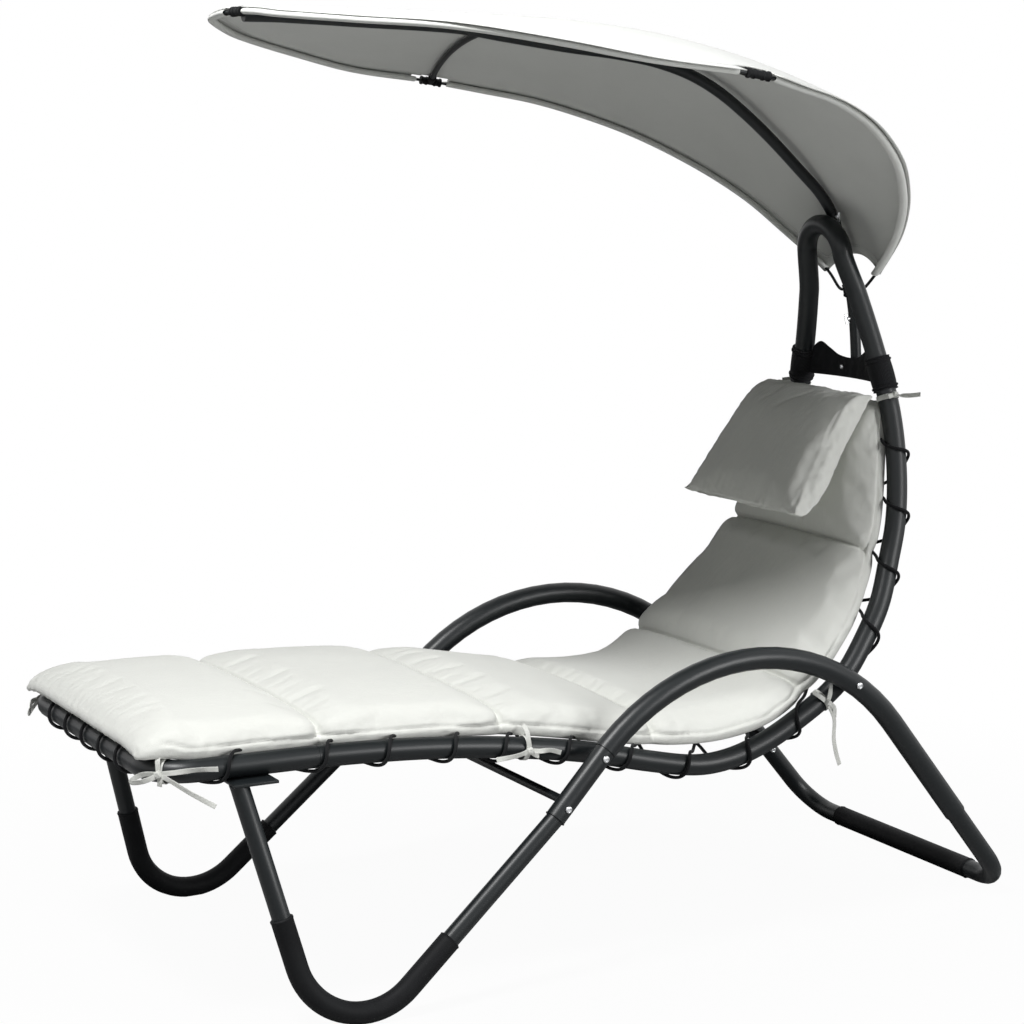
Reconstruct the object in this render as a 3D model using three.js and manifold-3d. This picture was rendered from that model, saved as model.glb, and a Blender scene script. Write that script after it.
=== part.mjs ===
// Sun lounger with a canopy: a bent tube frame on splayed loop legs, a laced sling,
// one long sectioned cushion, a head pillow and a leaf-shaped cloth canopy on a curved pole.
// Millimetres, +X towards the head, +Y towards the sitter's right, +Z up.
// Routes in the side view are shares of FRAME_LENGTH along X and of HOOP_HEIGHT along Z.

import * as THREE from "three";
import { mergeVertices } from "three/addons/utils/BufferGeometryUtils.js";
import Module from "manifold-3d";

const wasm = await Module();
wasm.setup();

// Overall sizes
const FRAME_LENGTH = 1767; // foot tube to rear ground tube, centre to centre
const HOOP_HEIGHT = 1318; // centre of the tube at the top of the hoop
const RAIL_SPAN = 636; // seat rails, centre to centre
const FOOT_SPREAD = 91; // how far each leg loop stands outward of its rail at the ground
const REAR_SPREAD = 19; // and each corner of the rear ground tube
const ARM_CORNER_SPREAD = 53.5; // and each arm at the corner of its bend
const FOOT_SPAN = RAIL_SPAN + 2 * FOOT_SPREAD; // the two leg loops at the ground, centre to centre
const REAR_SPAN = RAIL_SPAN + 2 * REAR_SPREAD; // corners of the rear ground tube
const ARM_CORNER_SPAN = RAIL_SPAN + 2 * ARM_CORNER_SPREAD; // the two arms at their bends
const GAP = 0.4; // clearance between pieces that touch
const JOINT_STUB = 6; // straight at the end of a tube that meets another
const OVERRUN = 4; // how far a cutting tool passes the surface it cuts
const MERGE_DISTANCE = 0.001; // points closer than this are one

// Tubes
const RAIL_RADIUS = 20;
const RAIL_WALL = 1.5;
const ARM_RADIUS = 21;
const ARM_WALL = 1.5;
const GROUND_TUBE_RADIUS = 18.5;
const GROUND_TUBE_HEIGHT = 20.3; // centre line above the ground
const LEG_RADIUS = 16.5;
const LEG_WALL = 1.5;
const COUPLING_RADIUS = 19;
const COUPLING_WALL = 1.2;
const SLEEVE_WALL = 3;
const GROUND_SLEEVE_WALL = 1.6;
const BRACE_RADIUS = 8;
const POLE_RADIUS = 11;
const POLE_WALL = 1.5;
const RIB_RADIUS = 6;
const ROD_RADIUS = 3;
const CORD_RADIUS = 3.2;

// Bends and stretches of the frame
const FOOT_CORNER_BEND = 72;
const LEG_BEND = 124;
const ARM_BEND = 435;
const REAR_CORNER_BEND = 82;
const LEG_SPLAY_SHARE = 0.044; // how much a leg moves outward per length towards the head
const LEG_LEAN_SHARE = 0.121; // how much a leg moves inward per height
const HOOP_NARROW_START = 500; // height where the hoop legs start to draw together
const HOOP_NECK_SPAN = 147.6; // the hoop legs just below the round top, centre to centre
const HOOP_TOP_RADIUS = 62;
const LIMB_SHARE = 0.99; // most of a limb that its bend may take
const SLEEVE_REACHES = [93, 110]; // foot sleeve beyond the bend, up the front and the rear limb
const LEG_INSERT = 60; // leg tube inside the coupling
const GROUND_SLEEVE_LENGTH = 450;

// Fasteners
const BOLT_RADIUS = 3;
const BOLT_HOLE_RADIUS = 3.4;
const BOLT_HEAD_RADIUS = 6.5;
const BOLT_HEAD_HEIGHT = 4;
const REAR_BOLT_DROP = 34; // rear joint bolt below the end of the arm
const BRACKET_LENGTH = 80;
const BRACKET_WIDTH = 62;
const BRACKET_THICKNESS = 5;
const WING_SPAN = 20;
const WING_HEIGHT = 9;
const WING_THICKNESS = 2.4;
const WING_HUB_RADIUS = 4.6;
const WING_HUB_HEIGHT = 6;

// Canopy
const CANOPY_LENGTH = 1332; // nose to tail along X
const CANOPY_WIDTH = 1284; // across the rib
const CANOPY_HEIGHT = 1722; // crown above the ground
const CANOPY_TAIL_REACH = 86.4; // tail behind the top of the hoop
const CANOPY_CLOTH = 2.4;
const CONNECTOR_LENGTH = 46;
const CONNECTOR_RADIUS = 9;
const CONNECTOR_RING_SHARES = [
  [-1, 0.8],
  [-0.85, 1],
  [-0.5, 0.8],
  [-0.4, 1],
  [0, 1],
  [0.1, 1],
  [0.5, 0.8],
  [0.6, 1],
  [0.85, 0.8],
  [1, 1],
]; // place along a connector, and its radius there
const NOTCH_LENGTH = 70;
const NOTCH_INNER = 13; // notch inward of the connector's axis
const NOTCH_OUTER = 32; // and outward
const NOSE_INSET = 8; // nose connector behind the front edge
const NOSE_ROD_SHARES = [0.3, 0.6, 0.9]; // places of the front rods under the front edge
const SADDLE_LENGTH = 34;
const SADDLE_WIDTH = 18.7;
const COLLAR_HEIGHT = 26;
const COLLAR_WALL = 4;

// Bed
const SLING_THICKNESS = 2;
const SLING_EDGE_GAP = 34; // rail surface to the sling's edge
const CUFF_SLACK = 0.8; // cuffs clear of the tube's corners
const TAPE_SLACK = 0.9; // tape clear of a straight tube
const SEAT_TAPE_SLACK = 0.7; // of the tube at the seat
const STRAP_TAPE_SLACK = 1.1; // of the hoop leg
const BEND_TAPE_SLACK = 2.3; // of a sharp bend
const FOOT_LACING_SLACK = 1.2;
const LACING_SLACK = 2.3; // cord clear of the rail and of the sling
const LACING_DROP = 12; // cord below the sling, where it turns back
const LACING_LEAN_SHARE = 0.13; // how far the cord's reach inward slants along the rail, in turns
const BAND_HEIGHT = 40;
const BAND_THICKNESS = 4;
const BAND_BULGE = 17; // how far the middle of the band lies behind the hoop legs
const BAND_HUMP = 28;
const BAND_PLACE_SHARES = [
  [-1, 0.6],
  [-0.85, 1],
  [-0.6, 0.6],
  [-0.3, 0.12],
  [0, 0],
  [0.3, 0.12],
  [0.6, 0.6],
  [0.85, 1],
  [1, 0.6],
]; // place across the band, and how much of the hump it has
const BAND_CLEARANCE_SHARE = 1.04; // for the slant of the hoop legs
const CUFF_LENGTH = 66;
const CUFF_WALL = 2;
const CUSHION_INSET = 20; // sides inward of the rails' centres
const CUSHION_WIDTH = RAIL_SPAN - 2 * CUSHION_INSET;
const CUSHION_SIDE = 45; // height of the side band
const CUSHION_CROWN = 26; // crown above the side band
const CUSHION_SEAM_DEPTH = 40;
const CUSHION_SEAM_REACH = 44;
const CUSHION_END_REACH = 60;
const CUSHION_END_SHARES = [0, 0.003, 0.01, 0.024];
const CUSHION_STEPS = 28;
const CUSHION_TUCK = 12; // how far the side draws in at the bottom
const PILLOW_TOP_WIDTH = 330;
const PILLOW_BOTTOM_WIDTH = 385;
const PILLOW_TOP_RISE = 9.34; // rear edge of its top past the end of the bed
const PILLOW_TOP_LIFT = 46; // above the bed
const PILLOW_BOTTOM_LIFT = 132.4;
const PILLOW_EDGE = 30;
const PILLOW_SWELL = 24; // how far each face swells beyond the edge
const PILLOW_END_SHARE = 0.4; // thickness of the two ends, of the edge
const KNOT_SIZE = 10;
const KNOT_SHARE = 0.85; // length of a knot along the tube, of its height
const SEAT_TIE_DROP = 57.5; // seat tie below the arm's bolt, along the rail
const FOOT_TAILS = [
  [60, -52],
  [42, 40],
]; // length and lean of each hanging tail
const MIDDLE_TAILS = [
  [58, -75],
  [64, 60],
];
const SEAT_TAILS = [
  [36, -20],
  [62, 28],
];
const STRAP_TAILS = [[66, -52]];
const TAPE_WIDTH = 12;
const TAPE_THICKNESS = 1.6;

// Stretches of a curve, as shares of its length, in which a place is looked for
const FOOT_PART = [0, 0.4];
const MIDDLE_PART = [0.2, 0.5];
const UPPER_PART = [0.5, 1];
const LOWER_PART = [0, 0.3];
const ARM_CROSSING_PART = [0.4, 0.9];
const RAIL_CROSSING_PART = [0.4, 0.75];

// Counts
const TUBE_SIDES = 10;
const BORE_SIDES = 6;
const TURNED_SIDES = 8;
const ROD_SIDES = 6;
const CORD_SIDES = 5;
const ROD_STEPS = 15;
const CORD_LOOP_STEPS = 12;
const CROSSING_STEPS = 200;
const HALVINGS = 40;
const BED_STEPS = 400;
const CLOTH_COLUMNS = 12;
const RIB_STEPS = 14;
const RIB_SIDES = 8;
const SADDLE_CUT_SIDES = 20;
const FOOT_LOOPS = 5;
const BEND_STEP = 18; // degrees of bend between two rings of a tube
const SIDES = [
  ["left", -1],
  ["right", 1],
];

// The side view of the rails and the hoop legs, from the foot to below the hoop's round top
const RAIL_PROFILE_SHARES = [
  [-0.5, 0.345],
  [-0.396, 0.345],
  [-0.283, 0.3407],
  [-0.2043, 0.3338],
  [-0.1177, 0.3202],
  [-0.034, 0.3005],
  [0.034, 0.2777],
  [0.085, 0.2633],
  [0.113, 0.261],
  [0.147, 0.267],
  [0.187, 0.285],
  [0.2264, 0.312],
  [0.2603, 0.34],
  [0.2841, 0.368],
  [0.317, 0.417],
  [0.342, 0.46],
  [0.3645, 0.52],
  [0.38, 0.565],
  [0.3916, 0.618],
  [0.399, 0.679],
  [0.4007, 0.736],
  [0.396, 0.799],
  [0.389, 0.861],
  [0.381, 0.918],
];
const HOOP_SHOULDER_SHARES = [0.3724, 0.957];
const HOOP_TOP_SHARES = [0.367, 1];
const FOOT_JOINT_SHARE = -0.338; // along X: foot tube meets the seat rails
const HOOP_JOINT_SHARE = 0.0747; // along X: seat rails meet the hoop
const LEG_TOP_SHARES = [-0.4244, 0.3212];
const LEG_CORNER_SHARES = [-0.3503, -0.0626];
const LEG_END_SHARES = [-0.0968, 0.2314];
const ARM_START_SHARES = [-0.0362, 0.314];
const ARM_CORNER_SHARES = [0.1607, 0.5736];
const ARM_END_SHARES = [0.4225, 0.1404];
const BRACE_SHARE = 0.24; // along the coupling
const COUPLING_BOLT_SHARES = [0.16, 0.9];

// The pole and the spine of the canopy, from the foot of the pole to the nose
const POLE_PROFILE_SHARES = [
  [0.4185, 0.782],
  [0.4145, 0.85],
  [0.4065, 0.91],
  [0.3947, 0.965],
  [0.3825, 1.011],
  [0.3655, 1.044],
  [0.3345, 1.083],
  [0.296, 1.129],
  [0.2603, 1.167],
  [0.228, 1.1965],
  [0.193, 1.22],
  [0.15, 1.238],
  [0.1, 1.2495],
  [0.0373, 1.2588],
  [-0.0374, 1.2724],
  [-0.0894, 1.2822],
  [-0.1998, 1.289],
  [-0.2898, 1.2938],
  [-0.3278, 1.2942],
];
const SPINE_SHARE = 1.32658; // length of the pole's shares above the hoop, of the canopy's length
const CROWN_SHARE = 1.30653; // height of the crown that the profiles are drawn for
const ARCH_SHARE = 0.1; // along X: from here on the canopy has its full height
const POLE_BEND_SHARE = 0.3825; // along X: the pole follows the hoop up to here
const POLE_TOP_SHARE = 1.02; // height where the pole meets the spine
const SPINE_JOINT_SHARE = -0.03; // along X: the two lengths of spine meet
const POLE_SCREW_SHARE = 0.857; // height of the lower thumb screw
const HOOP_SCREW_SHARE = 1.011; // height of the upper thumb screw
const COLLAR_SHARE = 0.9; // height of the collar that holds the two tail rods

// Canopy stations: crown X, crown Z, edge X, edge half width, edge Z,
// as shares of the length (from the nose), the height and the half width
const CANOPY_STATION_SHARES = [
  [0, 0.9988, 0.0128, 0.2508, 0.993],
  [0.0428, 0.9988, 0.0758, 0.4829, 0.9855],
  [0.1179, 0.9994, 0.1539, 0.7212, 0.9774],
  [0.2005, 0.9988, 0.2643, 0.8692, 0.9611],
  [0.3131, 0.9965, 0.3769, 0.9579, 0.9437],
  [0.4332, 0.9919, 0.5195, 0.9922, 0.9303],
  [0.5383, 0.9837, 0.5983, 0.9315, 0.9181],
  [0.6284, 0.9686, 0.6734, 0.8692, 0.9059],
  [0.711, 0.9454, 0.7485, 0.7928, 0.8868],
  [0.7785, 0.9187, 0.8086, 0.7087, 0.8664],
  [0.8386, 0.8839, 0.8664, 0.6137, 0.8403],
  [0.8948, 0.8462, 0.9099, 0.5171, 0.8142],
  [0.94, 0.8084, 0.9437, 0.4237, 0.7875],
  [0.9767, 0.7724, 0.97, 0.3162, 0.7549],
  [1, 0.7305, 0.9955, 0.1371, 0.7091],
];
const RIB_STATION = 5;
const HEM_SHARE = 0.97; // where the edge rods run, from the crown to the edge
const RIB_END_SHARE = 0.9545;
const RIB_CLEARANCE_SHARE = 1.3; // rib's axis below the cloth, of its radius
const NORMAL_STEP_SHARE = 0.02; // step across the cloth to find its slope

// The bed that carries the cushion, from the foot to the head
const BED_PROFILE_SHARES = [
  [-0.505, 0.371],
  [-0.485, 0.3667],
  [-0.46, 0.3588],
  [-0.4, 0.3562],
  [-0.333, 0.354],
  [-0.286, 0.3515],
  [-0.1986, 0.346],
  [-0.115, 0.3355],
  [-0.062, 0.3232],
  [0.009, 0.3043],
  [0.085, 0.2908],
  [0.125, 0.289],
  [0.163, 0.294],
  [0.195, 0.306],
  [0.2207, 0.324],
  [0.2433, 0.3475],
  [0.266, 0.3748],
  [0.2886, 0.4044],
  [0.3113, 0.4378],
  [0.3339, 0.4803],
  [0.3554, 0.5326],
  [0.3724, 0.5842],
  [0.3848, 0.6373],
  [0.3945, 0.6904],
  [0.3992, 0.737],
];
const SLING_START_SHARE = -0.4697; // along X: front edge of the sling
const CUSHION_SEAM_SHARES = [0.16, 0.34, 0.504, 0.685, 0.85]; // along the bed
const CUSHION_HALF_SHARES = [
  [0, 0.97],
  [0.03, 1],
  [0.72, 1],
  [0.77, 0.935],
  [0.85, 0.772],
  [0.96, 0.53],
  [1, 0.44],
]; // half width at places along the bed
const CUSHION_TOP_SHARES = [
  [-0.9, 0.35],
  [-0.6, 0.85],
  [-0.2, 1],
  [0.2, 1],
  [0.6, 0.85],
  [0.9, 0.35],
]; // place across the top, and how much of the crown it has
// Heights of the side band's edges, and the half width of the flat underside
const CUSHION_SIDE_SHARES = { full: 0.3, rounded: 0.9, tucked: 0.15, base: 0.8 };
const PILLOW_BOTTOM_SHARE = 0.8467; // along the bed: bottom of the pillow
const PILLOW_PLACE_SHARES = [0, 0.06, 0.2, 0.5, 0.8, 0.94, 1]; // down the pillow
const PILLOW_ACROSS_SHARES = [-1, -0.9, -0.6, 0, 0.6, 0.9, 1];
const LACING_TURN_SHARES = [
  0.052, 0.131, 0.183, 0.24, 0.284, 0.341, 0.399, 0.456, 0.517, 0.569, 0.678, 0.735, 0.79, 0.844,
]; // where each turn of the cord crosses the outer side of the rail
const FOOT_LACING_SHARES = [0.15, 0.85]; // along the straight of the foot tube
const LACING_START_SHARE = 0.03; // where the cord is fastened, behind the foot corner
const MIDDLE_TIE_SHARE = 0.306; // along the rail
const STRAP_SHARE = 0.7466; // height of the pillow straps on the hoop
const BAND_SHARE = 0.7807; // height of the middle of the head band

// Materials
function material(colour, roughness, metalness) {
  return new THREE.MeshStandardMaterial({ color: colour, roughness, metalness });
}

const coat = () => material(0x2a2f33, 0.45, 0.4);
const plastic = () => material(0x17191b, 0.55, 0);
const zinc = () => material(0xc9ccce, 0.3, 0.9);
const mesh = () => material(0x1b1c1e, 0.8, 0);
const cordCover = () => material(0x121314, 0.7, 0);
const cream = () => material(0xe2e3dd, 0.9, 0);
const shade = () => material(0xd9dad6, 0.85, 0);

const root = new THREE.Group();
const lounger = new THREE.Group();
root.add(lounger);

function add(name, geometry, finish) {
  const piece = new THREE.Mesh(geometry, finish);
  piece.name = name;
  lounger.add(piece);
  return piece;
}

// Places and routes
function place([xShare, zShare], y = 0) {
  return new THREE.Vector3(xShare * FRAME_LENGTH, y, zShare * HOOP_HEIGHT);
}

// A curve that passes evenly through the rings of a tube, so straight stretches need only two
class Route extends THREE.Curve {
  constructor(points) {
    super();
    this.points = points;
  }
  getPoint(t, target = new THREE.Vector3()) {
    const last = this.points.length - 1;
    const place = Math.min(Math.max(t, 0), 1) * last;
    const i = Math.min(Math.floor(place), last - 1);
    return target.lerpVectors(this.points[i], this.points[i + 1], place - i);
  }
  getPointAt(t, target) {
    return this.getPoint(t, target);
  }
  getTangentAt(t, target = new THREE.Vector3()) {
    const last = this.points.length - 1;
    const i = Math.round(t * last);
    const before = this.points[Math.max(i - 1, 0)];
    const after = this.points[Math.min(i + 1, last)];
    const here = this.points[i];
    target.set(0, 0, 0);
    if (after !== here) target.add(after.clone().sub(here).normalize());
    if (before !== here) target.add(here.clone().sub(before).normalize());
    return target.normalize();
  }
}

// Corners joined by straight lines, with each inner corner rounded to a radius
function bentRoute(corners, radius) {
  const points = [corners[0].clone()];
  for (let i = 1; i < corners.length - 1; i++) {
    const back = corners[i - 1].clone().sub(corners[i]).normalize();
    const on = corners[i + 1].clone().sub(corners[i]).normalize();
    const half = back.angleTo(on) / 2;
    const limb = Math.min(corners[i - 1].distanceTo(corners[i]), corners[i + 1].distanceTo(corners[i]));
    const bend = Math.min(radius, limb * LIMB_SHARE * Math.tan(half));
    const centre = back.clone().add(on).normalize().multiplyScalar(bend / Math.sin(half));
    centre.add(corners[i]);
    const start = corners[i].clone().addScaledVector(back, bend / Math.tan(half)).sub(centre);
    const axis = new THREE.Vector3().crossVectors(on, back).normalize();
    const turn = Math.PI - 2 * half;
    const steps = Math.max(2, Math.ceil(THREE.MathUtils.radToDeg(turn) / BEND_STEP));
    for (let k = 0; k <= steps; k++) {
      points.push(start.clone().applyAxisAngle(axis, (turn * k) / steps).add(centre));
    }
  }
  points.push(corners[corners.length - 1].clone());
  return points;
}

// Evenly spaced points of a curve between two shares of its length
function stretch(curve, from, to, steps) {
  const points = [];
  for (let k = 0; k <= steps; k++) {
    points.push(curve.getPointAt(from + ((to - from) * k) / steps));
  }
  return points;
}

// The same, with a short straight at each end so that the end faces stand square to the curve
function jointedStretch(curve, from, to, steps) {
  const stub = JOINT_STUB / curve.getLength();
  const inner = stretch(curve, from + stub, to - stub, steps);
  return [curve.getPointAt(from), ...inner, curve.getPointAt(to)];
}

// The share of a curve's length at which it passes a value along one axis
function shareAt(curve, axis, value, [low, high]) {
  const rising = curve.getPointAt(high)[axis] > curve.getPointAt(low)[axis];
  for (let k = 0; k < HALVINGS; k++) {
    const middle = (low + high) / 2;
    if (curve.getPointAt(middle)[axis] < value === rising) low = middle;
    else high = middle;
  }
  return (low + high) / 2;
}

function mirrored(points) {
  return points.map((p) => new THREE.Vector3(p.x, -p.y, p.z));
}

function onSide(points, side) {
  return side < 0 ? points : mirrored(points);
}

// Sections and solids
function polygon(radius, sides) {
  return Array.from({ length: sides }, (_, i) => {
    const angle = (2 * Math.PI * i) / sides;
    return new THREE.Vector2(radius * Math.cos(angle), radius * Math.sin(angle));
  });
}

function sweep(section, points) {
  return new THREE.ExtrudeGeometry(section, {
    steps: points.length - 1,
    extrudePath: new Route(points),
  });
}

function rod(points, radius, sides = ROD_SIDES) {
  return sweep(new THREE.Shape(polygon(radius, sides)), points);
}

function tube(points, radius, wall, boreSides = BORE_SIDES) {
  const section = new THREE.Shape(polygon(radius, TUBE_SIDES));
  section.holes.push(new THREE.Path(polygon(radius - wall, boreSides).reverse()));
  return sweep(section, points);
}

function solidOf(geometry) {
  const plain = geometry.index ? geometry.toNonIndexed() : geometry.clone();
  plain.deleteAttribute("normal");
  plain.deleteAttribute("uv");
  const merged = mergeVertices(plain, MERGE_DISTANCE);
  return new wasm.Manifold(
    new wasm.Mesh({
      numProp: 3,
      vertProperties: merged.attributes.position.array,
      triVerts: new Uint32Array(merged.index.array),
    }),
  );
}

function geometryOf(solid) {
  const { vertProperties, triVerts } = solid.getMesh();
  const made = new THREE.BufferGeometry();
  made.setAttribute("position", new THREE.BufferAttribute(new Float32Array(vertProperties), 3));
  made.setIndex(new THREE.BufferAttribute(new Uint32Array(triVerts), 1));
  made.computeVertexNormals();
  return made;
}

function cut(geometry, ...tools) {
  return geometryOf(tools.reduce((left, tool) => left.subtract(solidOf(tool)), solidOf(geometry)));
}

function joined(...geometries) {
  const [first, ...others] = geometries.map(solidOf);
  return geometryOf(others.reduce((sum, other) => sum.add(other), first));
}

// A closed solid through rings of points, with a fan over each end
function loft(rings) {
  const size = rings[0].length;
  const points = rings.flat();
  const faces = [];
  for (let r = 0; r < rings.length - 1; r++) {
    for (let i = 0; i < size; i++) {
      const a = r * size + i;
      const b = r * size + ((i + 1) % size);
      faces.push(a, a + size, b, b, a + size, b + size);
    }
  }
  for (const [ring, flip] of [
    [0, true],
    [rings.length - 1, false],
  ]) {
    const middle = points.length;
    const sum = rings[ring].reduce((s, p) => s.add(p), new THREE.Vector3());
    points.push(sum.divideScalar(size));
    for (let i = 0; i < size; i++) {
      const a = ring * size + i;
      const b = ring * size + ((i + 1) % size);
      if (flip) faces.push(middle, a, b);
      else faces.push(middle, b, a);
    }
  }
  const made = new THREE.BufferGeometry().setFromPoints(points);
  made.setIndex(faces);
  made.computeVertexNormals();
  return made;
}

// A turned solid on an axis that starts at a point and runs along a direction
function turned(profile, origin, direction, sides = TURNED_SIDES) {
  const made = new THREE.LatheGeometry(
    profile.map(([r, h]) => new THREE.Vector2(r, h)),
    sides,
  );
  const turn = new THREE.Quaternion().setFromUnitVectors(
    new THREE.Vector3(0, 1, 0),
    direction.clone().normalize(),
  );
  return made.applyQuaternion(turn).translate(origin.x, origin.y, origin.z);
}

function pin(origin, direction, from, to, radius) {
  const profile = [
    [0, from],
    [radius, from],
    [radius, to],
    [0, to],
  ];
  return turned(profile, origin, direction);
}

// A domed bolt: the head's seat lies at the origin, and the shank runs against the direction
function bolt(origin, direction, length, radius = BOLT_RADIUS, head = BOLT_HEAD_RADIUS) {
  const profile = [
    [0, -length],
    [radius, -length],
    [radius, 0],
    [head, 0],
    [head, BOLT_HEAD_HEIGHT / 4],
    [(head * 3) / 4, (BOLT_HEAD_HEIGHT * 3) / 4],
    [0, BOLT_HEAD_HEIGHT],
  ];
  return turned(profile, origin, direction);
}

// Main curves
function railHalf(z) {
  const [, neckShare] = RAIL_PROFILE_SHARES[RAIL_PROFILE_SHARES.length - 1];
  const height = neckShare * HOOP_HEIGHT - HOOP_NARROW_START;
  const lean = (RAIL_SPAN - HOOP_NECK_SPAN) / 2 / height;
  return RAIL_SPAN / 2 - Math.max(0, z - HOOP_NARROW_START) * lean;
}

const railCurve = new THREE.CatmullRomCurve3(
  RAIL_PROFILE_SHARES.map((shares) => {
    const p = place(shares);
    p.y = -railHalf(p.z);
    return p;
  }),
  false,
  "centripetal",
);
const hoopShoulder = place(HOOP_SHOULDER_SHARES, -HOOP_TOP_RADIUS);
const hoopTop = place(HOOP_TOP_SHARES);
const hoopCrown = new THREE.Vector3(
  (hoopShoulder.x + hoopTop.x) / 2,
  -HOOP_TOP_RADIUS * Math.SQRT1_2,
  hoopTop.z - HOOP_TOP_RADIUS * (1 - Math.SQRT1_2),
);
const footJoint = shareAt(railCurve, "x", FOOT_JOINT_SHARE * FRAME_LENGTH, FOOT_PART);
const hoopJoint = shareAt(railCurve, "x", HOOP_JOINT_SHARE * FRAME_LENGTH, MIDDLE_PART);

const bedCurve = new THREE.CatmullRomCurve3(
  BED_PROFILE_SHARES.map((shares) => place(shares)),
  false,
  "centripetal",
);

const slingStart = shareAt(bedCurve, "x", SLING_START_SHARE * FRAME_LENGTH, FOOT_PART);

// How much the canopy's height adds to its profile at a place along X: nothing behind the hoop
function archLift(x) {
  const full = CANOPY_HEIGHT - CROWN_SHARE * HOOP_HEIGHT;
  const start = ARCH_SHARE * FRAME_LENGTH;
  const end = POLE_BEND_SHARE * FRAME_LENGTH;
  return full * (1 - THREE.MathUtils.smoothstep(x, start, end));
}

// A point of the pole, or of the spine, which spreads with the canopy's length
function polePoint([xShare, zShare]) {
  const p = place([xShare, zShare]);
  if (xShare < POLE_BEND_SHARE) {
    p.x = hoopTop.x + (xShare - HOOP_TOP_SHARES[0]) * SPINE_SHARE * CANOPY_LENGTH;
  }
  p.z += archLift(p.x);
  return p;
}

const poleCurve = new THREE.CatmullRomCurve3(
  POLE_PROFILE_SHARES.map(polePoint),
  false,
  "centripetal",
);
const poleTop = shareAt(poleCurve, "z", POLE_TOP_SHARE * HOOP_HEIGHT, LOWER_PART);
const spineJoint = shareAt(poleCurve, "x", polePoint([SPINE_JOINT_SHARE, 1]).x, UPPER_PART);

// The side frame leans: how far out a leg point lies from the middle
function legHalf([xShare, zShare]) {
  const forward = xShare * FRAME_LENGTH - LEG_CORNER_SHARES[0] * FRAME_LENGTH;
  return FOOT_SPAN / 2 + LEG_SPLAY_SHARE * forward - LEG_LEAN_SHARE * zShare * HOOP_HEIGHT;
}

const legCorners = [LEG_TOP_SHARES, LEG_CORNER_SHARES, LEG_END_SHARES].map((shares) =>
  place(shares, -legHalf(shares)),
);
const legEnd = legCorners[2];
const armStart = place(ARM_START_SHARES, -legHalf(ARM_START_SHARES));
const groundCorner = new THREE.Vector3(FRAME_LENGTH / 2, -REAR_SPAN / 2, GROUND_TUBE_HEIGHT);
const armCorner = place(ARM_CORNER_SHARES, -ARM_CORNER_SPAN / 2);
const armEnd = place(ARM_END_SHARES);
armEnd.y = THREE.MathUtils.mapLinear(
  armEnd.z,
  armCorner.z,
  groundCorner.z,
  armCorner.y,
  groundCorner.y,
);
armEnd.x = THREE.MathUtils.mapLinear(
  armEnd.z,
  armCorner.z,
  groundCorner.z,
  armCorner.x,
  groundCorner.x,
);
const armStub = armStart.clone().sub(legEnd).setLength(JOINT_STUB).add(armStart);
const armRoute = [armStart, ...bentRoute([armStub, armCorner, armEnd], ARM_BEND)];

// The place where the arm passes the hoop leg in the side view
function armCrossing() {
  const arm = new THREE.CatmullRomCurve3(armRoute, false, "centripetal");
  const [from, to] = RAIL_CROSSING_PART;
  let best = { distance: Infinity };
  for (const a of stretch(arm, ...ARM_CROSSING_PART, CROSSING_STEPS)) {
    stretch(railCurve, from, to, CROSSING_STEPS).forEach((r, k) => {
      const distance = Math.hypot(a.x - r.x, a.z - r.z);
      const share = from + ((to - from) * k) / CROSSING_STEPS;
      if (distance < best.distance) best = { distance, arm: a, share };
    });
  }
  return best;
}

const railClear = GAP / railCurve.getLength();
const seatRoute = jointedStretch(railCurve, footJoint + railClear, hoopJoint - railClear, 12);
const hoopLegRoute = jointedStretch(railCurve, hoopJoint, 1, 18).slice(0, -1);

// Foot tube, seat rails and hoop
function seatFrame() {
  const joint = railCurve.getPointAt(footJoint);
  const stub = railCurve.getPointAt(footJoint - JOINT_STUB / railCurve.getLength());
  const corner = railCurve.getPointAt(0);
  const bends = bentRoute([stub, corner, ...mirrored([corner, stub])], FOOT_CORNER_BEND);
  const footRoute = [joint, ...bends, ...mirrored([joint])];
  add("foot_tube", tube(footRoute, RAIL_RADIUS, RAIL_WALL), coat());
  for (const [name, side] of SIDES) {
    add(`seat_rail_${name}`, tube(onSide(seatRoute, side), RAIL_RADIUS, RAIL_WALL), coat());
  }
  const crown = [hoopShoulder, hoopCrown, hoopTop];
  const half = new Route([...hoopLegRoute, ...crown]);
  const route = [...half.points, ...mirrored(half.points.slice(0, -1)).reverse()];
  const { arm } = armCrossing();
  const bolts = new THREE.Vector3(arm.x, 0, arm.z);
  const across = new THREE.Vector3(0, 1, 0);
  const boltHole = pin(bolts, across, -RAIL_SPAN, RAIL_SPAN, BOLT_HOLE_RADIUS);
  add("back_hoop", cut(tube(route, RAIL_RADIUS, RAIL_WALL), boltHole), coat());
}

// Arms
function arms() {
  const { arm } = armCrossing();
  for (const [name, side] of SIDES) {
    const out = new THREE.Vector3(0, side, 0);
    const seat = new THREE.Vector3(arm.x, side * Math.abs(arm.y), arm.z);
    const hole = pin(seat, out, -ARM_RADIUS - OVERRUN, ARM_RADIUS + OVERRUN, BOLT_HOLE_RADIUS);
    const body = tube(onSide(armRoute, side), ARM_RADIUS, ARM_WALL);
    add(`arm_${name}`, cut(body, hole), coat());
    const head = seat.clone().addScaledVector(out, ARM_RADIUS + GAP);
    const length = 2 * ARM_RADIUS + 2 * RAIL_RADIUS;
    add(`arm_bolt_${name}`, bolt(head, out, length), zinc());
  }
}

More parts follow.
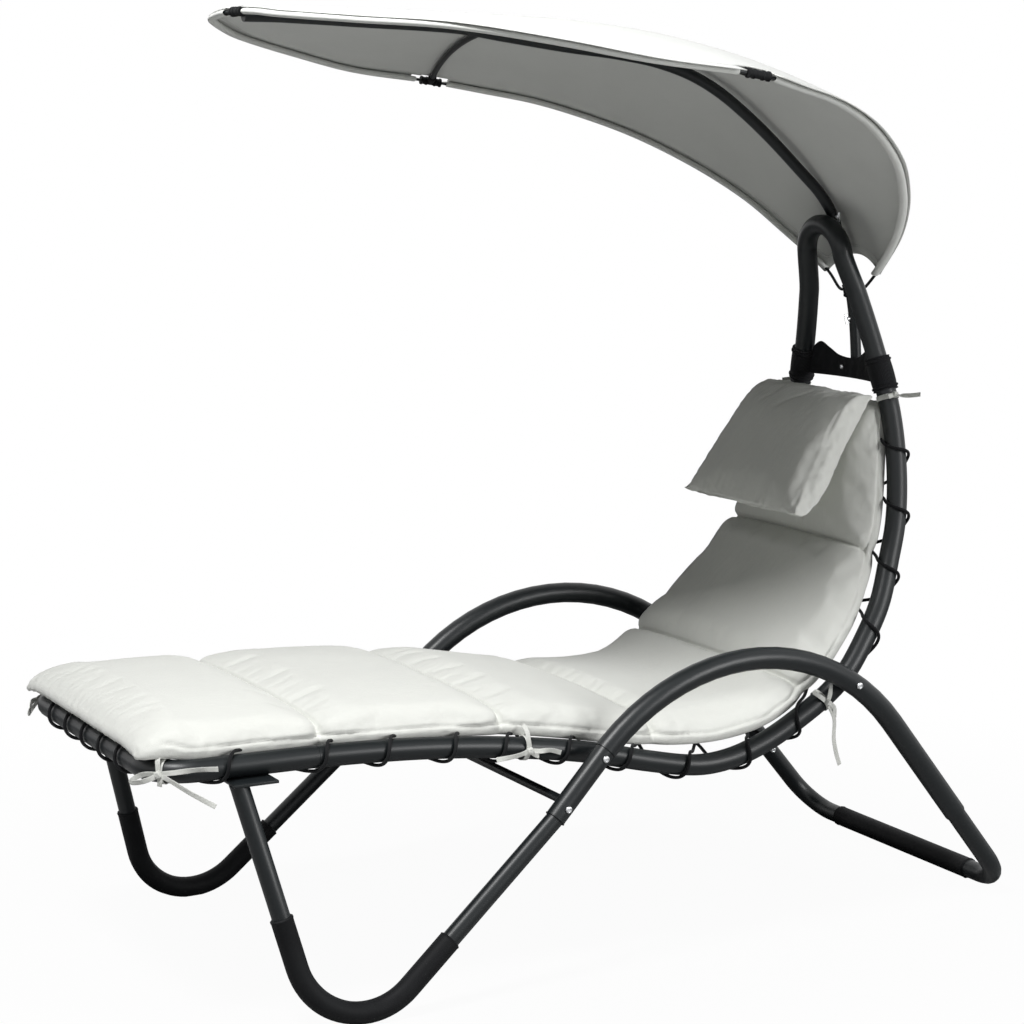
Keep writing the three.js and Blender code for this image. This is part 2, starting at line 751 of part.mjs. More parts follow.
// Loop legs with their sleeves, brackets and couplings
function legs() {
  const route = bentRoute(legCorners, LEG_BEND);
  const bend = route.slice(1, -1);
  const limbEnds = [bend[0], bend[bend.length - 1]].map((p, i) => {
    const limb = route[i * (route.length - 1)].clone().sub(p).normalize();
    return p.clone().addScaledVector(limb, SLEEVE_REACHES[i]);
  });
  const upward = armStart.clone().sub(legEnd);
  const couplingLength = upward.length();
  upward.normalize();
  const inserted = [...route];
  inserted[inserted.length - 1] = legEnd.clone().addScaledVector(upward, LEG_INSERT);
  inserted.splice(inserted.length - 1, 0, legEnd.clone());
  for (const [name, side] of SIDES) {
    const out = new THREE.Vector3(0, side, 0);
    const mirror = (p) => onSide([p], side)[0];
    const along = mirror(upward.clone());
    const seats = COUPLING_BOLT_SHARES.map((share) =>
      mirror(legEnd.clone().addScaledVector(upward, share * couplingLength)),
    );
    const flat = out.clone().addScaledVector(along, -out.dot(along)).normalize();
    const holes = seats.map((seat) =>
      pin(seat, flat, -COUPLING_RADIUS - OVERRUN, COUPLING_RADIUS + OVERRUN, BOLT_HOLE_RADIUS),
    );
    const leg = tube(onSide(inserted, side), LEG_RADIUS, LEG_WALL);
    add(`front_leg_${name}`, cut(leg, holes[0]), coat());

    const sleeveInner = LEG_RADIUS + GAP;
    const sleeveRoute = onSide([limbEnds[0], ...bend, limbEnds[1]], side);
    const sleeve = tube(sleeveRoute, sleeveInner + SLEEVE_WALL, SLEEVE_WALL, TUBE_SIDES);
    add(`foot_sleeve_${name}`, cut(sleeve, ground()), plastic());

    const couplingEnd = mirror(armStart.clone().addScaledVector(upward, -GAP));
    const couplingRoute = [mirror(legEnd), couplingEnd];
    const coupling = tube(couplingRoute, COUPLING_RADIUS, COUPLING_WALL, TUBE_SIDES);
    add(`coupling_${name}`, cut(coupling, ...holes), coat());
    seats.forEach((seat, i) => {
      const head = seat.clone().addScaledVector(flat, COUPLING_RADIUS + GAP);
      const length = 2 * COUPLING_RADIUS;
      add(`coupling_bolt_${name}_${i + 1}`, bolt(head, flat, length), zinc());
    });
    bracket(name, side);
  }
  const level = legEnd.clone().addScaledVector(upward, BRACE_SHARE * couplingLength);
  const reach = Math.abs(level.y) - COUPLING_RADIUS - GAP;
  const braceRoute = [-reach, reach].map((y) => new THREE.Vector3(level.x, y, level.z));
  add("cross_brace", tube(braceRoute, BRACE_RADIUS, LEG_WALL), coat());
}

// The flat plate that bolts the top of a front leg to the underside of its rail
function bracket(name, side) {
  const top = legCorners[0];
  const railUnder = railPointAbove(top.x + BRACKET_LENGTH).z - RAIL_RADIUS - GAP;
  const plate = new THREE.BoxGeometry(BRACKET_LENGTH, BRACKET_WIDTH, BRACKET_THICKNESS);
  const middle = new THREE.Vector3(
    top.x - LEG_RADIUS + BRACKET_LENGTH / 2,
    (side * (Math.abs(top.y) + LEG_RADIUS + RAIL_SPAN / 2 - RAIL_RADIUS / 2)) / 2,
    railUnder - BRACKET_THICKNESS / 2,
  );
  plate.translate(middle.x, middle.y, middle.z);
  const down = new THREE.Vector3(0, 0, -1);
  const seat = new THREE.Vector3(
    middle.x + BRACKET_LENGTH / 4,
    (side * RAIL_SPAN) / 2,
    railUnder - BRACKET_THICKNESS - GAP,
  );
  const hole = pin(seat, down, -BRACKET_THICKNESS - OVERRUN, OVERRUN, BOLT_HOLE_RADIUS);
  add(`leg_bracket_${name}`, cut(plate, hole), coat());
  add(`leg_bracket_bolt_${name}`, bolt(seat, down, BRACKET_THICKNESS), zinc());
}

function railPointAbove(x) {
  return railCurve.getPointAt(shareAt(railCurve, "x", x, FOOT_PART));
}

// Rear ground tube with its sleeve
function rearFrame() {
  const onward = groundCorner.clone().sub(armEnd).normalize();
  const start = armEnd.clone().addScaledVector(onward, GAP);
  const corners = [start, groundCorner, ...mirrored([groundCorner, start])];
  const body = tube(bentRoute(corners, REAR_CORNER_BEND), GROUND_TUBE_RADIUS, RAIL_WALL);
  const holes = [];
  for (const [name, side] of SIDES) {
    const inward = new THREE.Vector3(0, -side, 0);
    const on = onSide([start.clone().addScaledVector(onward, REAR_BOLT_DROP)], side)[0];
    const seat = on.clone().addScaledVector(inward, GROUND_TUBE_RADIUS + GAP);
    holes.push(pin(seat, inward, -GROUND_TUBE_RADIUS, OVERRUN, BOLT_HOLE_RADIUS));
    add(`rear_joint_bolt_${name}`, bolt(seat, inward, GROUND_TUBE_RADIUS / 2), zinc());
  }
  add("rear_ground_tube", cut(body, ...holes), coat());
  const half = GROUND_SLEEVE_LENGTH / 2;
  const sleeveRoute = [-half, half].map(
    (y) => new THREE.Vector3(groundCorner.x, y, groundCorner.z),
  );
  const inner = GROUND_TUBE_RADIUS / Math.cos(Math.PI / TUBE_SIDES) + GAP;
  const sleeve = tube(sleeveRoute, inner + GROUND_SLEEVE_WALL, GROUND_SLEEVE_WALL, TUBE_SIDES);
  add("ground_sleeve", cut(sleeve, ground()), plastic());
}

// All that lies below the ground, to cut the feet flat
function ground() {
  const depth = RAIL_RADIUS * 2;
  const slab = new THREE.BoxGeometry(FRAME_LENGTH * 2, FOOT_SPAN * 2, depth);
  return slab.translate(0, 0, -depth / 2);
}

// Canopy pole, spine and their fasteners
function canopyPole() {
  const clear = (GAP * 2) / poleCurve.getLength();
  const screws = [
    ["pole_thumb_screw", POLE_SCREW_SHARE, new THREE.Vector3(-1, 0, 0)],
    ["hoop_thumb_screw", HOOP_SCREW_SHARE, new THREE.Vector3(0, -1, 0)],
  ].map(([name, height, facing]) => {
    const share = shareAt(poleCurve, "z", height * HOOP_HEIGHT, LOWER_PART);
    const along = poleCurve.getTangentAt(share);
    const out = facing.addScaledVector(along, -facing.dot(along)).normalize();
    const seat = poleCurve.getPointAt(share).addScaledVector(out, POLE_RADIUS + GAP);
    add(name, wingBolt(seat, out, POLE_RADIUS), zinc());
    return pin(seat, out, -POLE_RADIUS, OVERRUN, BOLT_HOLE_RADIUS);
  });
  const pole = tube(jointedStretch(poleCurve, 0, poleTop, 12), POLE_RADIUS, POLE_WALL);
  add("canopy_pole", cut(pole, ...screws), coat());
  const rear = jointedStretch(poleCurve, poleTop + clear, spineJoint, 14);
  add("canopy_spine_rear", tube(rear, POLE_RADIUS, POLE_WALL), coat());
  const front = jointedStretch(poleCurve, spineJoint + clear, 1, 6);
  add("canopy_spine_front", tube(front, POLE_RADIUS, POLE_WALL), coat());
  collar();
}

// A bolt with two wings, its seat at the origin and its shank against the direction
function wingBolt(origin, direction, length) {
  const profile = [
    [0, -length],
    [BOLT_RADIUS, -length],
    [BOLT_RADIUS, 0],
    [WING_HUB_RADIUS, 0],
    [WING_HUB_RADIUS, WING_HUB_HEIGHT],
    [0, WING_HUB_HEIGHT],
  ];
  const hub = turned(profile, new THREE.Vector3(), new THREE.Vector3(0, 1, 0));
  const wings = new THREE.BoxGeometry(WING_THICKNESS, WING_HEIGHT, WING_SPAN);
  wings.translate(0, WING_HUB_HEIGHT / 4 + WING_HEIGHT / 2, 0);
  const turn = new THREE.Quaternion().setFromUnitVectors(new THREE.Vector3(0, 1, 0), direction);
  const body = joined(hub, wings);
  return body.applyQuaternion(turn).translate(origin.x, origin.y, origin.z);
}

// The plastic ring on the pole that takes the ends of the two tail rods
function collar() {
  const share = shareAt(poleCurve, "z", COLLAR_SHARE * HOOP_HEIGHT, LOWER_PART);
  const half = COLLAR_HEIGHT / 2 / poleCurve.getLength();
  const route = stretch(poleCurve, share - half, share + half, 2);
  const inner = POLE_RADIUS / Math.cos(Math.PI / TUBE_SIDES) + GAP;
  add("tail_rod_collar", tube(route, inner + COLLAR_WALL, COLLAR_WALL, TUBE_SIDES), plastic());
}

// Canopy surface: crown and edge lines through the stations
function canopyPoint([along, high], half = 0) {
  const x = hoopTop.x + CANOPY_TAIL_REACH - (1 - along) * CANOPY_LENGTH;
  const z = high * CROWN_SHARE * HOOP_HEIGHT + archLift(x);
  return new THREE.Vector3(x, (half * CANOPY_WIDTH) / 2, z);
}

const canopyStations = CANOPY_STATION_SHARES.map(([crownX, crownZ, edgeX, half, edgeZ]) => ({
  crown: canopyPoint([crownX, crownZ]),
  edge: canopyPoint([edgeX, edgeZ], half),
}));

// A point of the canopy between the crown (0) and the edge (1 or -1)
function canopySurface({ crown, edge }, across) {
  const drop = across * across;
  return new THREE.Vector3(
    crown.x + (edge.x - crown.x) * drop,
    edge.y * across,
    crown.z + (edge.z - crown.z) * drop,
  );
}

// The way out of the canopy's upper side at a point
function canopyNormal(index, across) {
  const before = canopyStations[Math.max(index - 1, 0)];
  const after = canopyStations[Math.min(index + 1, canopyStations.length - 1)];
  const along = canopySurface(after, across).sub(canopySurface(before, across));
  const side = canopySurface(canopyStations[index], across + NORMAL_STEP_SHARE).sub(
    canopySurface(canopyStations[index], across - NORMAL_STEP_SHARE),
  );
  return along.cross(side).normalize();
}

function canopyCloth() {
  const rings = canopyStations.map((station, index) => {
    const top = [];
    const under = [];
    for (let i = 0; i <= CLOTH_COLUMNS; i++) {
      const across = (2 * i) / CLOTH_COLUMNS - 1;
      const p = canopySurface(station, across);
      const lift = canopyNormal(index, across).multiplyScalar(CANOPY_CLOTH / 2);
      top.push(p.clone().add(lift));
      under.push(p.clone().sub(lift));
    }
    return [...top, ...under.reverse()];
  });
  const notches = connectorPlaces().map(({ centre, along, outward }) => {
    const width = NOTCH_INNER + NOTCH_OUTER;
    const box = new THREE.BoxGeometry(NOTCH_LENGTH, width, NOTCH_LENGTH);
    const up = new THREE.Vector3().crossVectors(along, outward);
    box.translate(0, width / 2 - NOTCH_INNER, 0);
    box.applyMatrix4(new THREE.Matrix4().makeBasis(along, outward, up));
    return box.translate(centre.x, centre.y, centre.z);
  });
  add("canopy_cloth", cut(loft(rings), ...notches), shade());
}

// A point under the cloth, clear of it by the radius of a rod
function underCanopy(index, across, radius) {
  const away = CANOPY_CLOTH / 2 + GAP + radius;
  const lower = canopyNormal(index, across).multiplyScalar(-away);
  return canopySurface(canopyStations[index], across).add(lower);
}

// The two rib ends and the nose, where the cloth is notched round a connector
function connectorPlaces() {
  const hem = (index) => underCanopy(index, -HEM_SHARE, ROD_RADIUS * 2);
  const along = hem(RIB_STATION + 1).sub(hem(RIB_STATION - 1)).normalize();
  const centre = hem(RIB_STATION);
  const down = canopyNormal(RIB_STATION, -HEM_SHARE).negate();
  const outward = new THREE.Vector3().crossVectors(down, along).normalize();
  const nose = underCanopy(0, 0, ROD_RADIUS * 2).add(new THREE.Vector3(NOSE_INSET, 0, 0));
  return [
    { name: "rib_end_left", centre, along, outward },
    {
      name: "rib_end_right",
      centre: mirrored([centre])[0],
      along: mirrored([along])[0],
      outward: mirrored([outward])[0],
    },
    {
      name: "nose_connector",
      centre: nose,
      along: new THREE.Vector3(0, 1, 0),
      outward: new THREE.Vector3(-1, 0, 0),
    },
  ];
}

function canopyRods() {
  const ribRoute = [];
  for (let i = 0; i <= RIB_STEPS; i++) {
    const across = ((2 * i) / RIB_STEPS - 1) * RIB_END_SHARE;
    ribRoute.push(underCanopy(RIB_STATION, across, RIB_RADIUS * RIB_CLEARANCE_SHARE));
  }
  add("canopy_rib", rod(ribRoute, RIB_RADIUS, RIB_SIDES), coat());
  for (const { name, centre, along } of connectorPlaces()) {
    const half = CONNECTOR_LENGTH / 2;
    const profile = CONNECTOR_RING_SHARES.map(([share, size]) => [
      CONNECTOR_RADIUS * size,
      share * half,
    ]);
    add(name, turned([[0, -half], ...profile, [0, half]], centre, along), plastic());
  }
  saddle(ribRoute[RIB_STEPS / 2]);
  edgeRods();
}

// The block between the spine and the rib
function saddle(top) {
  const share = shareAt(poleCurve, "x", top.x, UPPER_PART);
  const low = poleCurve.getPointAt(share);
  const height = top.z - low.z;
  const block = new THREE.BoxGeometry(SADDLE_LENGTH, SADDLE_WIDTH, height);
  block.translate(top.x, 0, low.z + height / 2);
  const reach = SADDLE_LENGTH / poleCurve.getLength();
  const nearby = stretch(poleCurve, share - reach, share + reach, 4);
  const spine = rod(nearby, POLE_RADIUS + GAP * 2, SADDLE_CUT_SIDES);
  const half = new THREE.Vector3(0, SADDLE_LENGTH, 0);
  const rib = rod([top.clone().sub(half), top.clone().add(half)], RIB_RADIUS + GAP * 3, SADDLE_CUT_SIDES);
  add("rib_saddle", cut(block, spine, rib), plastic());
}

// The rods in the hem: from the nose to the rib ends, and on by the tail to the collar
function edgeRods() {
  const [ribEnd, , nose] = connectorPlaces();
  const clear = CONNECTOR_LENGTH / 2 + GAP * 3;
  const hem = (index) => underCanopy(index, -HEM_SHARE, ROD_RADIUS * 2);
  const noseEnd = nose.centre.clone().addScaledVector(nose.along, GAP - clear);
  const front = [noseEnd];
  for (const across of NOSE_ROD_SHARES) front.push(underCanopy(0, -across, ROD_RADIUS * 2));
  for (let i = 1; i < RIB_STATION; i++) front.push(hem(i));
  front.push(ribEnd.centre.clone().addScaledVector(ribEnd.along, -clear));
  const rear = [ribEnd.centre.clone().addScaledVector(ribEnd.along, clear)];
  for (let i = RIB_STATION + 1; i < canopyStations.length; i++) rear.push(hem(i));
  const share = shareAt(poleCurve, "z", COLLAR_SHARE * HOOP_HEIGHT, LOWER_PART);
  const end = poleCurve.getPointAt(share);
  end.y = -(POLE_RADIUS / Math.cos(Math.PI / TUBE_SIDES) + COLLAR_WALL + GAP * 5);
  rear.push(end.clone().setY(end.y * 2), end);
  for (const [name, side] of SIDES) {
    for (const [where, points] of [
      ["front", front],
      ["rear", rear],
    ]) {
      const curve = new THREE.CatmullRomCurve3(points, false, "centripetal");
      const route = onSide(curve.getSpacedPoints(ROD_STEPS), side);
      add(`edge_rod_${where}_${name}`, rod(route, ROD_RADIUS), coat());
    }
  }
}

// Sling, head band and lacing
function bedNormal(share) {
  const along = bedCurve.getTangentAt(share);
  return new THREE.Vector3(-along.z, 0, along.x).normalize();
}

function aboveBed(share, height) {
  return bedCurve.getPointAt(share).addScaledVector(bedNormal(share), height);
}

function slingHalf(p) {
  return railHalf(p.z) - RAIL_RADIUS - SLING_EDGE_GAP;
}

function sling() {
  const onward = cushionPlaces().filter((share) => share > slingStart);
  const rings = [slingStart, ...onward].map((share) => {
    const p = bedCurve.getPointAt(share);
    const n = bedNormal(share).multiplyScalar(SLING_THICKNESS / 2);
    const half = slingHalf(p);
    const top = [-half, half].map((y) => p.clone().add(n).setY(y));
    const under = [half, -half].map((y) => p.clone().sub(n).setY(y));
    return [...top, ...under];
  });
  add("sling", loft(rings), mesh());
}

// The webbing between the hoop legs, and its cuff round each leg
function headBand() {
  const level = BAND_SHARE * HOOP_HEIGHT;
  const share = shareAt(railCurve, "z", level, UPPER_PART);
  const leg = railCurve.getPointAt(share);
  const reach = CUFF_LENGTH / 2 / railCurve.getLength();
  const inner = RAIL_RADIUS / Math.cos(Math.PI / TUBE_SIDES) + CUFF_SLACK;
  for (const [name, side] of SIDES) {
    const route = onSide(stretch(railCurve, share - reach, share + reach, 3), side);
    add(`band_cuff_${name}`, tube(route, inner + CUFF_WALL, CUFF_WALL, TUBE_SIDES), mesh());
  }
  const halfAt = (z) => railHalf(z) - (inner + CUFF_WALL) * BAND_CLEARANCE_SHARE;
  const rings = BAND_PLACE_SHARES.map(([across, top]) => {
    const x = leg.x + BAND_BULGE * (1 - across * across);
    const low = level - BAND_HEIGHT / 2;
    const high = level + BAND_HEIGHT / 2 + top * BAND_HUMP;
    return [
      [x + BAND_THICKNESS, low],
      [x + BAND_THICKNESS, high],
      [x, high],
      [x, low],
    ].map(([px, pz]) => new THREE.Vector3(px, across * halfAt(pz), pz));
  });
  add("head_band", loft(rings), mesh());
}

// How far the bed lies above a point of the rail, along a direction
function bedAbove(p, along, up) {
  let best = Infinity;
  let height = 0;
  for (const q of bedPoints) {
    const off = q.clone().sub(p).setY(0);
    const miss = Math.abs(off.dot(along));
    if (miss < best) {
      best = miss;
      height = off.dot(up);
    }
  }
  return height;
}

// One turn after another round a tube, each with a long reach inward to the sling's edge
function lacingRoute(frameAt, loops, slack) {
  const points = [];
  const wrap = RAIL_RADIUS + CORD_RADIUS + slack;
  const reach = RAIL_RADIUS + SLING_EDGE_GAP - CORD_RADIUS - slack;
  for (let k = 0; k <= loops * CORD_LOOP_STEPS; k++) {
    const turn = k / CORD_LOOP_STEPS;
    const angle = 2 * Math.PI * turn;
    const inner = Math.max(0, Math.cos(angle)) ** 5;
    const at = (turn + LACING_LEAN_SHARE * Math.sin(angle)) / loops;
    const { centre, inward, up, rise } = frameAt(THREE.MathUtils.clamp(at, 0, 1));
    const r = wrap + (reach - wrap) * inner;
    const p = centre.clone().addScaledVector(inward, r * Math.cos(angle));
    points.push(p.addScaledVector(up, rise * inner - r * Math.sin(angle)));
  }
  return points;
}

// Where the cord is along the rail after a number of turns, the first and last drawn on
function turnShare(turn) {
  const last = LACING_TURN_SHARES.length - 1;
  const i = THREE.MathUtils.clamp(Math.floor(turn), 0, last - 1);
  return THREE.MathUtils.lerp(LACING_TURN_SHARES[i], LACING_TURN_SHARES[i + 1], turn - i);
}

function leastGap(points) {
  let least = Infinity;
  points.forEach((p, i) => {
    for (let j = i + CORD_LOOP_STEPS / 2; j < points.length; j++) {
      least = Math.min(least, p.distanceTo(points[j]) - 2 * CORD_RADIUS);
    }
  });
  return least;
}

function lacing() {
  const loops = LACING_TURN_SHARES.length;
  for (const [name, side] of SIDES) {
    const frameAt = (t) => {
      const share = Math.max(LACING_START_SHARE, turnShare(t * loops - 1 / 2));
      const centre = railCurve.getPointAt(share);
      const along = railCurve.getTangentAt(share);
      const inward = new THREE.Vector3(0, 1, 0).addScaledVector(along, -along.y).normalize();
      const up = new THREE.Vector3().crossVectors(along, inward);
      return { centre, inward, up, rise: bedAbove(centre, along, up) - LACING_DROP };
    };
    const route = lacingRoute(frameAt, loops, LACING_SLACK);
    console.log(`lacing_${name}: least gap to itself ${leastGap(route).toFixed(1)} mm`);
    add(`lacing_${name}`, rod(onSide(route, side), CORD_RADIUS, CORD_SIDES), cordCover());
  }
  const [first, last] = FOOT_LACING_SHARES;
  const slingFront = bedCurve.getPointAt(slingStart);
  const corner = railCurve.getPointAt(0);
  const footFrameAt = (t) => {
    const centre = corner.clone().setY(corner.y * (1 - 2 * (first + (last - first) * t)));
    const inward = new THREE.Vector3(1, 0, 0);
    const up = new THREE.Vector3(0, 0, 1);
    return { centre, inward, up, rise: slingFront.z - centre.z - LACING_DROP };
  };
  const route = lacingRoute(footFrameAt, FOOT_LOOPS, FOOT_LACING_SLACK);
  console.log(`lacing_foot: least gap to itself ${leastGap(route).toFixed(1)} mm`);
  add("lacing_foot", rod(route, CORD_RADIUS, CORD_SIDES), cordCover());
}

function halfAlong(share) {
  const next = Math.max(
    1,
    CUSHION_HALF_SHARES.findIndex(([place]) => place >= share),
  );
  const [[s0, w0], [s1, w1]] = CUSHION_HALF_SHARES.slice(next - 1, next + 1);
  return (CUSHION_WIDTH / 2) * THREE.MathUtils.mapLinear(share, s0, s1, w0, w1);
}

function seamDip(distance) {
  return Math.exp(-2 * (distance / CUSHION_SEAM_REACH) ** 2);
}

function cushion() {
  const length = bedCurve.getLength();
  const rings = cushionPlaces().map((share) => {
    const toEnd = Math.min(share, 1 - share) * length;
    const near = 1 - Math.min(1, (toEnd + CUSHION_TUCK / 2) / CUSHION_END_REACH);
    const round = Math.sqrt(1 - near * near);
    const dips = CUSHION_SEAM_SHARES.map((seam) => seamDip((share - seam) * length));
    const side = CUSHION_SIDE * round;
    const crown = (CUSHION_SIDE + CUSHION_CROWN - CUSHION_SEAM_DEPTH * Math.max(...dips)) * round;
    return cushionRing(share, halfAlong(share), side, crown);
  });
  add("cushion", loft(rings), cream());
}

// Where the cushion's cross-sections lie along the bed: close together at the ends
function cushionPlaces() {
  const places = new Set(CUSHION_SEAM_SHARES);
  for (const end of CUSHION_END_SHARES) places.add(end).add(1 - end);
  const first = CUSHION_END_SHARES[CUSHION_END_SHARES.length - 1];
  for (let k = 1; k < CUSHION_STEPS; k++) {
    const share = first + ((1 - 2 * first) * k) / CUSHION_STEPS;
    if (CUSHION_SEAM_SHARES.every((seam) => Math.abs(seam - share) > first / 3)) places.add(share);
  }
  return [...places].sort((a, b) => a - b);
}

function cushionRing(share, half, side, crown) {
  const p = bedCurve.getPointAt(share);
  const n = bedNormal(share);
  const base = SLING_THICKNESS / 2 + GAP * 2;
  const shoulder = (level) => side + (crown - side) * level;
  const { full, rounded, tucked, base: flat } = CUSHION_SIDE_SHARES;
  const outline = [
    [-1, full * side, 0],
    [-1, rounded * side, CUSHION_TUCK / 3],
    ...CUSHION_TOP_SHARES.map(([across, level]) => [across, shoulder(level), 0]),
    [1, rounded * side, CUSHION_TUCK / 3],
    [1, full * side, 0],
    [1, tucked * side, CUSHION_TUCK],
    [flat, 0, 0],
    [-flat, 0, 0],
    [-1, tucked * side, CUSHION_TUCK],
  ];
  return outline.map(([across, high, drawnIn]) => {
    const y = across * half - Math.sign(across) * drawnIn;
    return p.clone().addScaledVector(n, base + high).setY(y);
  });
}

// The head pillow: flat edges, with a swell on both faces
function pillow() {
  const top = aboveBed(1, PILLOW_TOP_LIFT);
  top.addScaledVector(bedCurve.getTangentAt(1), PILLOW_TOP_RISE);
  const bottom = aboveBed(PILLOW_BOTTOM_SHARE, PILLOW_BOTTOM_LIFT);
  const along = bottom.clone().sub(top);
  const front = new THREE.Vector3(along.z, 0, -along.x).normalize();
  const rings = PILLOW_PLACE_SHARES.map((down) => {
    const half = THREE.MathUtils.lerp(PILLOW_TOP_WIDTH, PILLOW_BOTTOM_WIDTH, down) / 2;
    const swellHere = PILLOW_SWELL * Math.sqrt(Math.sin(Math.PI * down));
    const edge = PILLOW_EDGE * (down === 0 || down === 1 ? PILLOW_END_SHARE : 1);
    const point = (across, face) => {
      const swell = swellHere * Math.sqrt(Math.max(0, 1 - across * across));
      const off = face > 0 ? edge / 2 + swell : -edge / 2;
      const away = PILLOW_EDGE / 2 + off;
      return top.clone().addScaledVector(along, down).addScaledVector(front, away).setY(across * half);
    };
    const back = PILLOW_ACROSS_SHARES.map((across) => point(across, -1));
    const swollen = PILLOW_ACROSS_SHARES.map((across) => point(across, 1));
    return [...back, ...swollen.reverse()];
  });
  add("head_pillow", loft(rings), cream());
}

// A tape tied round a tube: a band, a knot on the outer side and hanging tails
function tie(name, { centre, along, out }, slack, side, tails) {
  const inner = RAIL_RADIUS + slack;
  const half = along.clone().multiplyScalar(TAPE_WIDTH / 2);
  const ends = [centre.clone().sub(half), centre.clone().add(half)];
  const band = tube(ends, inner + TAPE_THICKNESS, TAPE_THICKNESS, TUBE_SIDES);
  const up = new THREE.Vector3(0, 0, 1);
  const level = new THREE.Vector3().crossVectors(up, out);
  const turn = new THREE.Matrix4().makeBasis(level, out.clone().negate(), up);
  const flats = (inner + TAPE_THICKNESS) * Math.cos(Math.PI / TUBE_SIDES);
  const sunk = flats - TAPE_THICKNESS / 4;
  const square = out.clone().addScaledVector(along, -out.dot(along)).normalize();
  const knotAt = centre.clone().addScaledVector(square, sunk + KNOT_SIZE / 2);
  const knotTurn = new THREE.Matrix4().makeBasis(
    along,
    square.clone().negate(),
    new THREE.Vector3().crossVectors(square, along),
  );
  const knot = new THREE.BoxGeometry(KNOT_SIZE * KNOT_SHARE, KNOT_SIZE, KNOT_SIZE);
  knot.applyMatrix4(knotTurn).translate(knotAt.x, knotAt.y, knotAt.z);
  const strips = tails.map(([length, lean]) => {
    const strip = new THREE.BoxGeometry(TAPE_WIDTH, TAPE_THICKNESS, length);
    strip.translate(0, -KNOT_SIZE / 4, -length / 2);
    strip.rotateY(THREE.MathUtils.degToRad(lean));
    return strip.applyMatrix4(turn).translate(knotAt.x, knotAt.y, knotAt.z);
  });
  const tied = joined(band, knot, ...strips);
  add(name, side > 0 ? reflected(tied) : tied, cream());
}

// The place on a tube's route that lies nearest to a point, and the way along there
function nearestOn(route, p) {
  let best = { distance: Infinity };
  for (let i = 1; i < route.length; i++) {
    const line = new THREE.Line3(route[i - 1], route[i]);
    const centre = line.closestPointToPoint(p, true, new THREE.Vector3());
    const distance = centre.distanceTo(p);
    const along = line.delta(new THREE.Vector3()).normalize();
    if (distance < best.distance) best = { distance, centre, along };
  }
  return best;
}

// The other side's copy of a piece
function reflected(geometry) {
  const made = geometry.applyMatrix4(new THREE.Matrix4().makeScale(1, -1, 1));
  const index = made.index.array;
  for (let i = 0; i < index.length; i += 3) [index[i], index[i + 1]] = [index[i + 1], index[i]];
  made.computeVertexNormals();
  return made;
}

function ties() {
  const seat = armCrossing().share - SEAT_TIE_DROP / railCurve.getLength();
  const out = new THREE.Vector3(0, -1, 0);
  const onRail = (share) => {
    const route = share < hoopJoint ? seatRoute : hoopLegRoute;
    return { ...nearestOn(route, railCurve.getPointAt(share)), out };
  };
  const strapAt = onRail(shareAt(railCurve, "z", STRAP_SHARE * HOOP_HEIGHT, UPPER_PART));
  for (const [name, side] of SIDES) {
    tie(`foot_tie_${name}`, footCorner(), BEND_TAPE_SLACK, side, FOOT_TAILS);
    tie(`middle_tie_${name}`, onRail(MIDDLE_TIE_SHARE), TAPE_SLACK, side, MIDDLE_TAILS);
    tie(`seat_tie_${name}`, onRail(seat), SEAT_TAPE_SLACK, side, SEAT_TAILS);
    tie(`pillow_strap_${name}`, strapAt, STRAP_TAPE_SLACK, side, STRAP_TAILS);
  }
}

// The middle of the foot tube's corner bend
function footCorner() {
  const outward = new THREE.Vector3(-1, -1, 0).normalize();
  const centre = railCurve.getPointAt(0);
  centre.addScaledVector(outward, -FOOT_CORNER_BEND * (Math.SQRT2 - 1));
  return { centre, along: new THREE.Vector3(1, -1, 0).normalize(), out: outward };
}

const bedPoints = bedCurve.getSpacedPoints(BED_STEPS);

seatFrame();
arms();
legs();
rearFrame();
canopyPole();
canopyCloth();
canopyRods();
sling();
headBand();
lacing();
cushion();
pillow();
ties();

// The origin is the middle of the base of the box that holds the lounger
const box = new THREE.Box3().setFromObject(lounger);
lounger.position.set(-(box.min.x + box.max.x) / 2, 0, -box.min.z);

export default root;
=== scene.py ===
"""A sun lounger with a canopy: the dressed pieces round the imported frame, and their studio."""
import math

import bpy
import numpy as np
from bpy.props import FloatProperty, FloatVectorProperty, PointerProperty
from mathutils import Matrix, Vector, noise


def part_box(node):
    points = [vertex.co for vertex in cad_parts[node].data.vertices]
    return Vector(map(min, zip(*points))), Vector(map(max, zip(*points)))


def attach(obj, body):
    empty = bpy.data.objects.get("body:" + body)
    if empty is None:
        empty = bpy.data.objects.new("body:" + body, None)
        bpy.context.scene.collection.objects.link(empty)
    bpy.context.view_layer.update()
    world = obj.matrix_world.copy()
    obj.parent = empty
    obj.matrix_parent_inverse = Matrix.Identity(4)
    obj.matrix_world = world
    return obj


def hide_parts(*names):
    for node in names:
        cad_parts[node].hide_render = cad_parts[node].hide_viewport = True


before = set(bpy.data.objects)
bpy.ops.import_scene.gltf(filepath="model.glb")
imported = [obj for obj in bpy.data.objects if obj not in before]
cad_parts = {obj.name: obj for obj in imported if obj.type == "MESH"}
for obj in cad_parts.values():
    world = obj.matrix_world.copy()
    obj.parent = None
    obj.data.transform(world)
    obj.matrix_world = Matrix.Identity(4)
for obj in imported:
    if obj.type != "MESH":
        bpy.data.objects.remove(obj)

bl_info = {
    "name": "Sun lounger with canopy",
    "version": (1, 0, 0),
    "blender": (4, 5, 0),
    "location": "View3D > Sidebar > Lounger",
    "description": "Dresses the packed frame of a sun lounger and lights it in a pale studio",
    "category": "Object",
}

